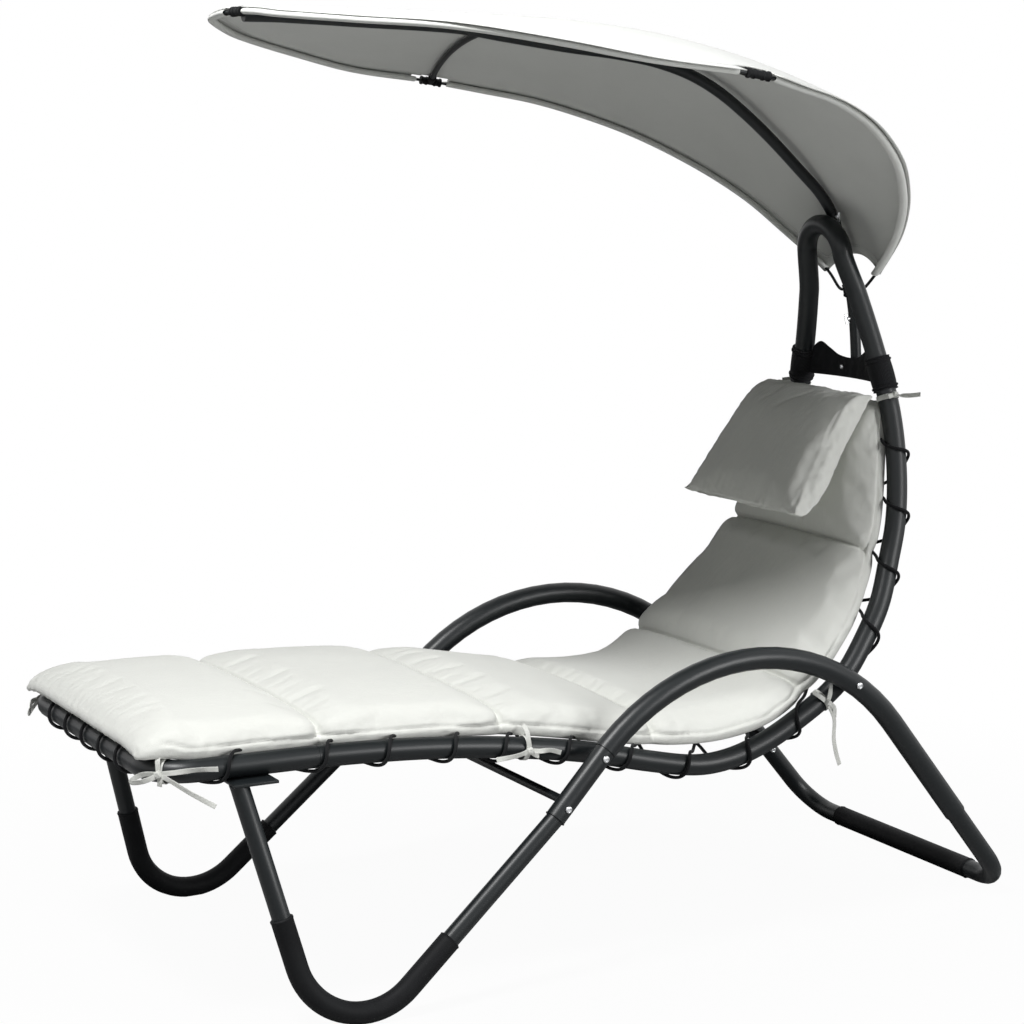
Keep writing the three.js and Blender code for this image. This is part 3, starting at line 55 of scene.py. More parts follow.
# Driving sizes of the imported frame, in metres
FRAME_LENGTH = 1.767
HOOP_HEIGHT = 1.318
RAIL_SPAN = 0.636
FOOT_SPAN = 0.818
REAR_SPAN = 0.674
ARM_CORNER_SPAN = 0.743
RAIL_RADIUS = 0.020
ARM_RADIUS = 0.021
LEG_RADIUS = 0.0165
GROUND_TUBE_RADIUS = 0.0185
GROUND_TUBE_HEIGHT = 0.0203
COUPLING_RADIUS = 0.019
BRACE_RADIUS = 0.008
POLE_RADIUS = 0.011
RIB_RADIUS = 0.006
ROD_RADIUS = 0.003
CORD_RADIUS = 0.0032
JOINT_GAP = 0.0004
FOOT_CORNER_BEND = 0.072
LEG_BEND = 0.124
ARM_BEND = 0.435
REAR_CORNER_BEND = 0.082
LEG_SPLAY_FORWARD = 0.044
LEG_LEAN = 0.121
HOOP_NARROW_START = 0.500
HOOP_LEAN = 0.344
HOOP_TOP_RADIUS = 0.062
LEG_INSERT = 0.060
SLEEVE_REACHES = (0.093, 0.110)
SLEEVE_WALL = 0.003
GROUND_SLEEVE_LENGTH = 0.450
CANOPY_LENGTH = 1.332
CANOPY_WIDTH = 1.284
CANOPY_HEIGHT = 1.722
CANOPY_CLOTH = 0.0024
SLING_EDGE_GAP = 0.034
SLING_FILL = 0.86  # the sling's area as a share of its box
CUSHION_WIDTH = 0.596
FRAME_SHIFT = sum(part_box("ground_sleeve"), Vector()).x / 2 - FRAME_LENGTH / 2

SIDES = (("left", -1), ("right", 1))

RAIL_PROFILE = (
    (-0.5, 0.345), (-0.396, 0.345), (-0.283, 0.3407), (-0.2043, 0.3338),
    (-0.1177, 0.3202), (-0.034, 0.3005), (0.034, 0.2777), (0.085, 0.2633),
    (0.113, 0.261), (0.147, 0.267), (0.187, 0.285), (0.2264, 0.312),
    (0.2603, 0.34), (0.2841, 0.368), (0.317, 0.417), (0.342, 0.46),
    (0.3645, 0.52), (0.38, 0.565), (0.3916, 0.618), (0.399, 0.679),
    (0.4007, 0.736), (0.396, 0.799), (0.389, 0.861), (0.381, 0.918),
)
BED_PROFILE = (
    (-0.505, 0.371), (-0.485, 0.3667), (-0.46, 0.3588), (-0.4, 0.3562),
    (-0.333, 0.354), (-0.286, 0.3515), (-0.1986, 0.346), (-0.115, 0.3355),
    (-0.062, 0.3232), (0.009, 0.3043), (0.085, 0.2908), (0.125, 0.289),
    (0.163, 0.294), (0.195, 0.306), (0.2207, 0.324), (0.2433, 0.3475),
    (0.266, 0.3748), (0.2886, 0.4044), (0.3113, 0.4378), (0.3339, 0.4803),
    (0.3554, 0.5326), (0.3724, 0.5842), (0.3848, 0.6373), (0.3945, 0.6904),
    (0.3992, 0.737),
)
POLE_PROFILE = (
    (0.4185, 0.782), (0.4145, 0.85), (0.4065, 0.91), (0.3947, 0.965),
    (0.3825, 1.011), (0.3655, 1.044), (0.3345, 1.083), (0.296, 1.129),
    (0.2603, 1.167), (0.228, 1.1965), (0.193, 1.22), (0.15, 1.238),
    (0.1, 1.2495), (0.0373, 1.2588), (-0.0374, 1.2724), (-0.0894, 1.2822),
    (-0.1998, 1.289), (-0.2898, 1.2938), (-0.3278, 1.2942),
)
HOOP_SHOULDER = (0.3724, 0.957)
HOOP_TOP = (0.367, 1.0)
FOOT_JOINT = -0.338
HOOP_JOINT = 0.0747
LEG_TOP = (-0.4244, 0.3212)
LEG_CORNER = (-0.3503, -0.0626)
LEG_END = (-0.0968, 0.2314)
ARM_START = (-0.0362, 0.314)
ARM_CORNER = (0.1607, 0.5736)
ARM_END = (0.4225, 0.1404)
BRACE_SHARE = 0.24
COUPLING_BOLTS = (0.16, 0.9)
POLE_TOP = 1.02
SPINE_JOINT = -0.03
COLLAR_SHARE = 0.9
ROD_STEPS = 8

# Canopy stations: crown X and Z, edge X, half width and Z, as shares of its length, height and half width
CANOPY_STATIONS = (
    (0, 0.9988, 0.0128, 0.2508, 0.993),
    (0.0428, 0.9988, 0.0758, 0.4829, 0.9855),
    (0.1179, 0.9994, 0.1539, 0.7212, 0.9774),
    (0.2005, 0.9988, 0.2643, 0.8692, 0.9611),
    (0.3131, 0.9965, 0.3769, 0.9579, 0.9437),
    (0.4332, 0.9919, 0.5195, 0.9922, 0.9303),
    (0.5383, 0.9837, 0.5983, 0.9315, 0.9181),
    (0.6284, 0.9686, 0.6734, 0.8692, 0.9059),
    (0.711, 0.9454, 0.7485, 0.7928, 0.8868),
    (0.7785, 0.9187, 0.8086, 0.7087, 0.8664),
    (0.8386, 0.8839, 0.8664, 0.6137, 0.8403),
    (0.8948, 0.8462, 0.9099, 0.5171, 0.8142),
    (0.94, 0.8084, 0.9437, 0.4237, 0.7875),
    (0.9767, 0.7724, 0.97, 0.3162, 0.7549),
    (1, 0.7305, 0.9955, 0.1371, 0.7091),
)
RIB_STATION = 5
CANOPY_NOSE = -0.3379
HEM_SHARE = 0.97
RIB_END_SHARE = 0.9545

CUSHION_SEAMS = (0.16, 0.34, 0.504, 0.685, 0.85)
CUSHION_HALF = ((0, 0.97), (0.03, 1), (0.72, 1), (0.77, 0.935), (0.85, 0.772), (0.96, 0.53), (1, 0.44))
LACING_TURNS = (
    0.052, 0.131, 0.183, 0.24, 0.284, 0.341, 0.399, 0.456, 0.517, 0.569, 0.678, 0.735, 0.79, 0.844,
)
FOOT_LACING = (0.15, 0.85)
FOOT_LOOPS = 5
CORD_LOOP_STEPS = 12
SLING_START = -0.4697
BAND_SHARE = 0.7807
TIE_SHARES = (0.306, 0.602)
STRAP_SHARE = 0.7466
PILLOW_TOP = (0.3741, 0.7487)
PILLOW_BOTTOM = (0.2845, 0.5672)


def colour_setting(name, description, default):
    return FloatVectorProperty(name=name, description=description, subtype="COLOR", size=3, default=default)


def number_setting(name, description, default, **settings):
    return FloatProperty(name=name, description=description, default=default, **settings)


class Lounger(bpy.types.PropertyGroup):
    """The sizes and colours of the dressed pieces."""

    coat_colour: colour_setting("Frame", "Powder coat of the tubes", (0.0075, 0.0098, 0.0110))
    cushion_colour: colour_setting("Cushions", "Cloth of the cushion and pillow", (0.75, 0.76, 0.72))
    canopy_colour: colour_setting("Canopy", "Upper side of the canopy", (0.74, 0.75, 0.73))
    # Painted shade: the under side gets a darker colour than the upper side, standing for the shade beneath
    # the canopy; the cloth is the same on both sides.
    lining_colour: colour_setting("Canopy lining", "Under side of the canopy", (0.66, 0.67, 0.645))
    cushion_crown: number_setting("Cushion crown", "How high its middle rises", 0.062, unit="LENGTH")
    cushion_side: number_setting("Cushion side", "How high its side band is", 0.042, unit="LENGTH")
    pillow_edge: number_setting("Pillow edge", "Thickness of the pillow at its side", 0.054, unit="LENGTH")


class Studio(bpy.types.PropertyGroup):
    """The light and the camera."""

    key_power: number_setting("Key light", "Power of the light above", 175, unit="POWER")
    fill_power: number_setting("Fill light", "Power of the soft light", 6, unit="POWER")
    side_power: number_setting("Side light", "Power of the light beside", 110, unit="POWER")
    ambient: number_setting("Ambient", "Strength of the light from all round", 0.05)
    lens: number_setting("Lens", "Focal length", 90.55, subtype="DISTANCE_CAMERA")
    azimuth: number_setting("Azimuth", "Direction of view", math.radians(-28), subtype="ANGLE")
    elevation: number_setting("Elevation", "Height of view", math.radians(8.9), subtype="ANGLE")


# Routes
def place(shares, y=0.0):
    """A point of the frame from its shares of the length and the height."""
    return np.array([shares[0] * FRAME_LENGTH + FRAME_SHIFT, y, shares[1] * HOOP_HEIGHT])


def unit(vector):
    vector = np.array(vector, float)
    return vector / np.linalg.norm(vector)


SPLINE_STEPS = 24


def smooth(points, steps=SPLINE_STEPS):
    """A centripetal spline through points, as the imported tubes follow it."""
    points = [np.array(p, float) for p in points]
    chain = [2 * points[0] - points[1], *points, 2 * points[-1] - points[-2]]
    line = []
    for a, b, c, d in zip(chain, chain[1:], chain[2:], chain[3:]):
        ab, bc, cd = (np.linalg.norm(q - p) ** 0.5 for p, q in ((a, b), (b, c), (c, d)))
        start = ((b - a) / ab - (c - a) / (ab + bc) + (c - b) / bc) * bc
        end = ((c - b) / bc - (d - b) / (bc + cd) + (d - c) / cd) * bc
        square, cube = 3 * (c - b) - 2 * start - end, 2 * (b - c) + start + end
        line += [b + start * t + square * t**2 + cube * t**3 for t in np.arange(steps) / steps]
    return np.array([*line, points[-1]])


def rounded(corners, radius, step=math.radians(5)):
    """Straight lines between corners, with each inner corner rounded."""
    points = [np.array(corners[0], float)]
    for before, corner, after in zip(corners, corners[1:], corners[2:]):
        back, onward = unit(before - corner), unit(after - corner)
        half = math.acos(float(np.clip(back @ onward, -1, 1))) / 2
        centre = corner + unit(back + onward) * radius / math.sin(half)
        start = Vector(corner + back * radius / math.tan(half) - centre)
        axis = Vector(np.cross(onward, back)).normalized()
        turn = math.pi - 2 * half
        count = max(2, math.ceil(turn / step))
        for k in range(count + 1):
            points.append(np.array(Matrix.Rotation(turn * k / count, 3, axis) @ start) + centre)
    return np.array([*points, corners[-1]])


class Route:
    """A line through points, measured along its own length."""

    def __init__(self, points):
        self.points = np.array(points, float)
        steps = np.linalg.norm(np.diff(self.points, axis=0), axis=1)
        self.places = np.concatenate([[0], np.cumsum(steps)])
        self.length = float(self.places[-1])

    def at(self, share):
        far = np.clip(share, 0, 1) * self.length
        return np.stack([np.interp(far, self.places, self.points[:, k]) for k in range(3)], axis=-1)

    def along(self, share):
        step = 1e-3
        way = self.at(np.minimum(share + step, 1)) - self.at(np.maximum(share - step, 0))
        return way / np.linalg.norm(way, axis=-1, keepdims=True)

    def share(self, axis, value, low=0.0, high=1.0):
        rising = self.at(high)[axis] > self.at(low)[axis]
        for _ in range(40):
            middle = (low + high) / 2
            if (self.at(middle)[axis] < value) == rising:
                low = middle
            else:
                high = middle
        return (low + high) / 2

    def stretch(self, low, high, spacing=0.012):
        count = max(2, math.ceil((high - low) * self.length / spacing))
        return self.at(np.linspace(low, high, count + 1))


def rail_half(height):
    return RAIL_SPAN / 2 - max(0.0, height - HOOP_NARROW_START) * HOOP_LEAN


def rail_point(shares):
    point = place(shares)
    point[1] = -rail_half(point[2])
    return point


def leg_half(shares):
    forward = (shares[0] - LEG_CORNER[0]) * FRAME_LENGTH
    return FOOT_SPAN / 2 + LEG_SPLAY_FORWARD * forward - LEG_LEAN * shares[1] * HOOP_HEIGHT


def on_side(points, side):
    """The points on their own side, or mirrored to the other."""
    return np.array(points) * np.array([1, -side, 1])


rail = Route(smooth([rail_point(p) for p in RAIL_PROFILE]))
bed = Route(smooth([place(p) for p in BED_PROFILE]))
pole = Route(smooth([place(p) for p in POLE_PROFILE]))
foot_joint = rail.share(0, FOOT_JOINT * FRAME_LENGTH + FRAME_SHIFT, 0, 0.4)
hoop_joint = rail.share(0, HOOP_JOINT * FRAME_LENGTH + FRAME_SHIFT, 0.2, 0.5)
sling_start = bed.share(0, SLING_START * FRAME_LENGTH + FRAME_SHIFT, 0, 0.4)
pole_top = pole.share(2, POLE_TOP * HOOP_HEIGHT, 0, 0.3)
spine_joint = pole.share(0, SPINE_JOINT * FRAME_LENGTH + FRAME_SHIFT, 0.5, 1)
collar_share = pole.share(2, COLLAR_SHARE * HOOP_HEIGHT, 0, 0.3)
leg_corners = [place(p, -leg_half(p)) for p in (LEG_TOP, LEG_CORNER, LEG_END)]
leg_route = rounded(leg_corners, LEG_BEND)
leg_end = leg_corners[2]
arm_start = place(ARM_START, -leg_half(ARM_START))
coupling_way = unit(arm_start - leg_end)
coupling_length = float(np.linalg.norm(arm_start - leg_end))
arm_corner = place(ARM_CORNER, -ARM_CORNER_SPAN / 2)
ground_corner = np.array([FRAME_LENGTH / 2 + FRAME_SHIFT, -REAR_SPAN / 2, GROUND_TUBE_HEIGHT])
arm_share = (place(ARM_END)[2] - arm_corner[2]) / (ground_corner[2] - arm_corner[2])
arm_end = arm_corner + (ground_corner - arm_corner) * arm_share
arm_route = np.array([arm_start, *rounded([arm_start + coupling_way * 0.006, arm_corner, arm_end], ARM_BEND)])


def arm_crossing():
    """Where the arm passes the hoop leg, seen from the side."""
    arm = Route(arm_route).at(np.linspace(0.4, 0.9, 200))
    leg = rail.at(np.linspace(0.4, 0.75, 200))
    off = np.hypot(arm[:, None, 0] - leg[None, :, 0], arm[:, None, 2] - leg[None, :, 2])
    return arm[np.unravel_index(off.argmin(), off.shape)[0]]


def canopy_point(along, high, half=0.0):
    x = CANOPY_NOSE * FRAME_LENGTH + along * CANOPY_LENGTH + FRAME_SHIFT
    return np.array([x, half * CANOPY_WIDTH / 2, high * CANOPY_HEIGHT])


canopy_crown = np.array([canopy_point(s[0], s[1]) for s in CANOPY_STATIONS])
canopy_edge = np.array([canopy_point(s[2], s[4], s[3]) for s in CANOPY_STATIONS])
crown_line, edge_line = smooth(canopy_crown), smooth(canopy_edge)


def canopy_surface(station, across):
    """A point of the canopy: stations run from the nose, across from -1 to 1."""
    index = np.arange(len(crown_line))
    crown, edge = (
        np.array([np.interp(station * SPLINE_STEPS, index, line[:, k]) for k in range(3)])
        for line in (crown_line, edge_line)
    )
    point = crown + (edge - crown) * (across * across)
    point[1] = edge[1] * across
    return point


def canopy_normal(station, across):
    last = len(CANOPY_STATIONS) - 1
    way = canopy_surface(min(station + 1, last), across) - canopy_surface(max(station - 1, 0), across)
    side = canopy_surface(station, across + 0.02) - canopy_surface(station, across - 0.02)
    return unit(np.cross(way, side))


def under_canopy(station, across, radius):
    away = CANOPY_CLOTH / 2 + JOINT_GAP + radius
    return canopy_surface(station, across) - canopy_normal(station, across) * away


def bed_normal(share):
    way = bed.along(share)
    return unit([-way[2], 0, way[0]])


# Modelling
def deselect():
    for obj in bpy.context.selected_objects:
        obj.select_set(False)
    bpy.context.view_layer.objects.active = None


def activate(obj):
    deselect()
    obj.select_set(True)
    bpy.context.view_layer.objects.active = obj
    return obj


def new_object(name, data):
    obj = bpy.data.objects.new(name, data)
    bpy.context.scene.collection.objects.link(obj)
    return obj


def shade(obj, degrees=None):
    """Smooth shading, but for the edges sharper than an angle if one is given."""
    activate(obj)
    if degrees is None:
        bpy.ops.object.shade_smooth()
    else:
        bpy.ops.object.shade_smooth_by_angle(angle=math.radians(degrees))
    return obj


def apply_modifier(obj, kind, **settings):
    activate(obj)
    bpy.ops.object.modifier_add(type=kind)
    modifier = obj.modifiers[-1]
    for name, value in settings.items():
        setattr(modifier, name, value)
    bpy.ops.object.modifier_apply(modifier=modifier.name)
    return obj


def solidify(obj, thickness, **settings):
    return apply_modifier(obj, "SOLIDIFY", thickness=thickness, offset=0, **settings)


def in_edit_mode(obj, choose, *steps):
    """Selects the faces that choose accepts, or all if it is None, and runs the steps on them."""
    activate(obj)
    bpy.ops.object.mode_set(mode="EDIT")
    bpy.ops.mesh.select_all(action="DESELECT")
    bpy.ops.mesh.select_mode(type="FACE")
    bpy.ops.object.mode_set(mode="OBJECT")
    for face in obj.data.polygons:
        face.select = choose is None or choose(face)
    bpy.ops.object.mode_set(mode="EDIT")
    for step in steps:
        step()
    bpy.ops.object.mode_set(mode="OBJECT")
    return obj


def merge_points(distance=1e-5):
    bpy.ops.mesh.remove_doubles(threshold=distance)


def face_outward():
    bpy.ops.mesh.normals_make_consistent(inside=False)


def tube(points, radius, sides=24):
    """A round rod along points, its radius one number or one for each point."""
    deselect()
    bpy.ops.curve.primitive_bezier_curve_add()
    data = bpy.context.object.data
    data.splines.clear()
    spline = data.splines.new("POLY")
    spline.points.add(len(points) - 1)
    for knot, point, size in zip(spline.points, points, np.broadcast_to(radius, len(points))):
        knot.co = (*point, 1)
        knot.radius = float(size)
    data.dimensions = "3D"
    data.bevel_depth = 1
    data.bevel_resolution = sides // 4
    data.use_fill_caps = True
    bpy.ops.object.convert(target="MESH")
    return shade(bpy.context.object, 50)


def sheet(name, rows, close_rows=False):
    """A grid through rows of points, with a UV map in metres along it."""
    rows = np.array(rows, float)
    high, wide = rows.shape[:2]
    deselect()
    bpy.ops.mesh.primitive_grid_add(x_subdivisions=wide - 1, y_subdivisions=high - 1, size=1)
    obj = bpy.context.object
    obj.name = obj.data.name = name
    data = obj.data
    if len(data.vertices) != high * wide:
        raise RuntimeError(f"{name}: the grid has {len(data.vertices)} points, not {high} x {wide}")
    data.vertices.foreach_set("co", rows.reshape(-1))
    across, along = Route(rows[high // 2]).places, Route(rows[:, wide // 2]).places
    corner = np.zeros(len(data.loops), int)
    data.loops.foreach_get("vertex_index", corner)
    flat = np.stack([across[corner % wide], along[corner // wide]], axis=1)
    data.uv_layers.active.data.foreach_set("uv", flat.astype(np.float32).reshape(-1))
    data.update()
    if close_rows:
        in_edit_mode(obj, None, merge_points, face_outward)
    return shade(obj)


def ribbon(points, normals, width, thickness):
    """A flat tape along points, its face turned to the normals."""
    line = smooth(points, 8)
    last = len(line) - 1
    shares = np.linspace(0, len(points) - 1, len(line))
    index = np.arange(len(points))
    faces = np.stack([np.interp(shares, index, np.array(normals)[:, k]) for k in range(3)], axis=1)
    rows = []
    for i, point in enumerate(line):
        way = unit(line[min(i + 1, last)] - line[max(i - 1, 0)])
        side = unit(np.cross(way, faces[i]))
        rows.append([point + side * width * share for share in (-0.5, -0.25, 0, 0.25, 0.5)])
    obj = solidify(sheet("ribbon", rows), thickness)
    return apply_modifier(obj, "BEVEL", width=thickness * 0.3, segments=2)


def join(objects):
    deselect()
    for obj in objects:
        obj.select_set(True)
    bpy.context.view_layer.objects.active = objects[0]
    bpy.ops.object.join()
    return bpy.context.object


finishes = {}


def dress(obj, finish, node=None, body="frame"):
    """Gives a piece its finish, its body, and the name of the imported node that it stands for."""
    obj.data.materials.clear()
    obj.data.materials.append(finishes[finish])
    if node:
        obj.name = obj.data.name = node + "_made"
        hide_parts(node)
    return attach(obj, body)


def refined(node, width, finish, body="frame"):
    """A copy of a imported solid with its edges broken."""
    obj = new_object(node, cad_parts[node].data.copy())
    in_edit_mode(
        obj, None,
        lambda: merge_points(1e-6),
        lambda: bpy.ops.mesh.dissolve_limited(angle_limit=math.radians(1)),
    )
    apply_modifier(obj, "BEVEL", width=width, segments=3, limit_method="ANGLE", angle_limit=math.radians(35))
    return dress(shade(obj, 40), finish, node, body)


# Materials
class Socket:
    """A socket of a shader, for sums written as plain expressions."""

    def __init__(self, tree, socket):
        self.tree = tree
        self.socket = socket

    def maths(self, operation, *values):
        node = self.tree.nodes.new("ShaderNodeMath")
        node.operation = operation
        for entry, value in zip(node.inputs, values):
            feed(self.tree, entry, value)
        return Socket(self.tree, node.outputs[0])

    def __add__(self, other):
        return self.maths("ADD", self, other)

    def __sub__(self, other):
        return self.maths("SUBTRACT", self, other)

    def __rsub__(self, other):
        return self.maths("SUBTRACT", other, self)

    def __mul__(self, other):
        return self.maths("MULTIPLY", self, other)

    def __truediv__(self, other):
        return self.maths("DIVIDE", self, other)

    __radd__ = __add__
    __rmul__ = __mul__

    def over(self, limit):
        return self.maths("GREATER_THAN", self, limit)

    def under(self, limit):
        return self.maths("LESS_THAN", self, limit)

    def at_least(self, limit):
        return self.maths("MAXIMUM", self, limit)

    def size(self):
        return self.maths("ABSOLUTE", self)

    def wave(self, length):
        """Rises and falls between 0 and 1 once in each length."""
        return self.maths("SINE", self * (2 * math.pi / length)) * 0.5 + 0.5


def feed(tree, entry, value):
    if isinstance(value, Socket):
        tree.links.new(value.socket, entry)
    else:
        entry.default_value = value


class Nodes:
    """The nodes of a tree, added one by one."""

    def __init__(self, tree):
        self.tree = tree

    def node(self, kind, settings=None, values=None, output=0):
        node = self.tree.nodes.new(kind)
        for name, value in (settings or {}).items():
            setattr(node, name, value)
        for entry, value in (values or {}).items():
            feed(self.tree, node.inputs[entry], value)
        return Socket(self.tree, node.outputs[output])


class Finish(Nodes):
    """A material round the standard shader."""

    def __init__(self, name, **constants):
        self.material = bpy.data.materials.new(name)
        self.material.use_nodes = True
        super().__init__(self.material.node_tree)
        self.shader = self.tree.nodes["Principled BSDF"]
        for entry, value in constants.items():
            self.shader.inputs[entry.replace("_", " ").title().replace("Ior", "IOR")].default_value = value

    def coordinates(self, turn=(0, 0, 0), scale=(1, 1, 1)):
        source = self.node("ShaderNodeTexCoord", output="Object")
        return self.node("ShaderNodeMapping", {}, {"Vector": source, "Rotation": turn, "Scale": scale})

    def parts(self, vector):
        return [self.node("ShaderNodeSeparateXYZ", {}, {0: vector}, axis) for axis in range(3)]

    def along_cloth(self):
        """The lengths across and along a piece, in metres."""
        return self.parts(self.node("ShaderNodeTexCoord", output="UV"))[:2]

    def stored(self, name):
        return self.node("ShaderNodeAttribute", {"attribute_name": name}, output=2)

    def noise(self, vector, scale, detail=3.0, roughness=0.5):
        values = {"Vector": vector, "Scale": scale, "Detail": detail, "Roughness": roughness}
        return self.node("ShaderNodeTexNoise", {}, values)

    def blend(self, factor, first, second):
        values = {0: factor, 6: as_colour(first), 7: as_colour(second)}
        return self.node("ShaderNodeMix", {"data_type": "RGBA"}, values, 2)

    def finish(self, colour, roughness, height, distance, strength):
        """Joins the colour, the roughness and a height, whose unit is the distance, to the shader."""
        values = {"Strength": strength, "Distance": distance, "Height": height}
        bump = self.node("ShaderNodeBump", {}, values)
        for entry, value in (("Base Color", colour), ("Roughness", roughness), ("Normal", bump)):
            feed(self.tree, self.shader.inputs[entry], value)
        return self.material


def as_colour(value):
    return value if isinstance(value, Socket) else (*tuple(value)[:3], 1.0)


def shaded(colour, factor):
    return tuple(min(1.0, part * factor) for part in tuple(colour)[:3])


def powder_coat(colour):
    """Satin paint baked on steel: a fine orange peel and a few dull patches."""
    made = Finish("powder_coat", specular_ior_level=0.36)
    where = made.coordinates()
    peel = made.noise(where, scale=900, detail=2)
    patches = made.noise(where, scale=6, detail=4)
    specks = made.noise(where, scale=2600, detail=1).over(0.72)
    tone = made.blend(patches, shaded(colour, 0.82), shaded(colour, 1.2))
    tone = made.blend(specks * 0.5, tone, shaded(colour, 2.0))
    roughness = 0.30 + patches * 0.10 + peel * 0.06
    return made.finish(tone, roughness, peel, distance=0.00025, strength=0.5)


def moulded_plastic():
    made = Finish("moulded_plastic", specular_ior_level=0.10)
    where = made.coordinates()
    grain = made.noise(where, scale=1500)
    scuffs = made.noise(where, scale=25, detail=6, roughness=0.7)
    tone = made.blend(scuffs, (0.006, 0.006, 0.007), (0.016, 0.017, 0.018))
    return made.finish(tone, 0.48 + scuffs * 0.22, grain, distance=0.00018, strength=0.7)


def bright_zinc():
    made = Finish("bright_zinc", metallic=1.0)
    where = made.coordinates()
    fine = made.noise(where, scale=1800, detail=4)
    stains = made.noise(where, scale=160)
    tone = made.blend(stains, (0.56, 0.57, 0.58), (0.80, 0.81, 0.82))
    return made.finish(tone, 0.18 + stains * 0.25, fine, distance=0.00008, strength=0.6)


def plain_weave(across, along, pitch):
    """The height of a plain weave, from two lengths over the cloth."""
    warp, weft = across.wave(pitch), along.wave(pitch)
    checks = (across.wave(pitch * 2) - 0.5) * (along.wave(pitch * 2) - 0.5)
    return warp * 0.5 + weft * 0.5 + checks


def cushion_cloth(colour):
    """A matt outdoor weave, a little uneven in tone."""
    made = Finish("cushion_cloth", sheen_weight=0.25, sheen_roughness=0.5, specular_ior_level=0.3)
    where = made.coordinates()
    x, y, z = made.parts(where)
    weave = plain_weave(x + z, y, pitch=0.0011)
    slub = made.noise(made.coordinates(scale=(1, 14, 1)), scale=160)
    tired = made.noise(where, scale=7, detail=5, roughness=0.6)
    slanted = made.coordinates(turn=(0.3, 0.2, 0.7), scale=(1, 2.6, 1))
    creases = made.noise(slanted, scale=26, detail=5, roughness=0.55)
    tone = made.blend(tired, shaded(colour, 0.94), shaded(colour, 1.05))
    tone = made.blend(slub * 0.2, tone, shaded(colour, 0.86))
    height = weave * 0.25 + slub * 0.3 + creases * 2.2
    return made.finish(tone, 0.82 + weave * 0.1, height, distance=0.0011, strength=0.55)


STITCH_ROWS = (0.017, 0.021)
STITCH_HALF = 0.0009
STITCH_LENGTH = 0.006
HEM_WIDTH = 0.019
PUCKER_REACH = 0.05


def canopy_weave(name, colour, edge_tone):
    """The canopy's cloth: a tight weave, with two rows of stitches near the hem."""
    made = Finish(name, sheen_weight=0.15, sheen_roughness=0.5, specular_ior_level=0.3)
    where = made.coordinates()
    x, y, _ = made.parts(where)
    weave = plain_weave(x, y, pitch=0.0012)
    cloud = made.noise(where, scale=5, detail=5, roughness=0.6)
    hem, run = made.stored("hem"), made.stored("run")
    first, second = ((1 - (hem - row).size() / STITCH_HALF).at_least(0) for row in STITCH_ROWS)
    stitch = (first + second) * run.wave(STITCH_LENGTH).over(0.25)
    doubled = hem.under(HEM_WIDTH)
    pucker = (1 - hem / PUCKER_REACH).at_least(0) * made.noise(where, scale=38)
    tone = made.blend(cloud, shaded(colour, 0.93), shaded(colour, 1.05))
    tone = made.blend(doubled * 0.6, tone, edge_tone)
    tone = made.blend(stitch * 0.75, tone, shaded(colour, 0.3))
    height = weave * 0.15 + cloud * 0.8 + pucker * 2.5 + doubled * 0.8 - stitch * 1.2
    return made.finish(tone, 0.8 + weave * 0.1, height, distance=0.001, strength=0.6)


def webbing_weave():
    made = Finish("webbing_weave", sheen_weight=0.05, specular_ior_level=0.15)
    where = made.coordinates()
    x, y, z = made.parts(where)
    ribs = plain_weave(x + z, y, pitch=0.0022)
    fuzz = made.noise(where, scale=420, detail=4)
    tone = made.blend(ribs * 0.6 + fuzz * 0.4, (0.004, 0.004, 0.005), (0.020, 0.021, 0.023))
    return made.finish(tone, 0.72 + fuzz * 0.2, ribs + fuzz * 0.3, distance=0.0006, strength=0.7)


def sling_mesh():
    """Open textilene: dark crossing yarns."""
    made = Finish("sling_mesh", specular_ior_level=0.15)
    where = made.coordinates()
    x, y, z = made.parts(where)
    yarn = plain_weave(x + z, y, pitch=0.0030)
    fuzz = made.noise(where, scale=300)
    tone = made.blend(yarn, (0.003, 0.003, 0.0035), (0.024, 0.025, 0.027))
    return made.finish(tone, 0.62 + fuzz * 0.2, yarn, distance=0.0008, strength=0.8)


def braided_cord():
    """A round braid, its strands crossing along and round the cord."""
    made = Finish("braided_cord", sheen_weight=0.05, specular_ior_level=0.15)
    around, along = made.along_cloth()
    strand = (around * 6 + along).wave(1.0) * (around * -6 + along).wave(1.0)
    fuzz = made.noise(made.coordinates(), scale=700)
    tone = made.blend(strand * 0.7 + fuzz * 0.3, (0.003, 0.003, 0.004), (0.016, 0.017, 0.018))
    return made.finish(tone, 0.66 + fuzz * 0.2, strand + fuzz * 0.2, distance=0.0006, strength=0.8)


def cotton_tape(colour):
    made = Finish("cotton_tape", sheen_weight=0.3, specular_ior_level=0.3)
    across, along = made.along_cloth()
    twill = (across + along).wave(0.0012)
    fuzz = made.noise(made.coordinates(), scale=500, detail=4)
    crumple = made.noise(made.coordinates(), scale=70, detail=4)
    tone = made.blend(fuzz, shaded(colour, 0.84), shaded(colour, 1.1))
    height = twill * 0.4 + crumple * 1.5
    return made.finish(tone, 0.86 + fuzz * 0.1, height, distance=0.0008, strength=0.7)


def make_finishes(colours):
    # Painted shade: the canopy's under side gets the darker underside colour, standing for the shade under
    # it; its doubled hem band is 1.15 times that colour.
    lining = shaded(colours.lining_colour, 1.15)
    finishes.update(
        coat=powder_coat(colours.coat_colour),
        plastic=moulded_plastic(),
        zinc=bright_zinc(),
        cloth=cushion_cloth(colours.cushion_colour),
        canopy=canopy_weave("canopy_weave", colours.canopy_colour, shaded(colours.canopy_colour, 1.02)),
        lining=canopy_weave("canopy_lining", colours.lining_colour, lining),
        webbing=webbing_weave(),
        mesh=sling_mesh(),
        cord=braided_cord(),
        tape=cotton_tape(colours.cushion_colour),
    )


# Frame
def frame_tube(node, points, radius):
    return dress(tube(points, radius), "coat", node)


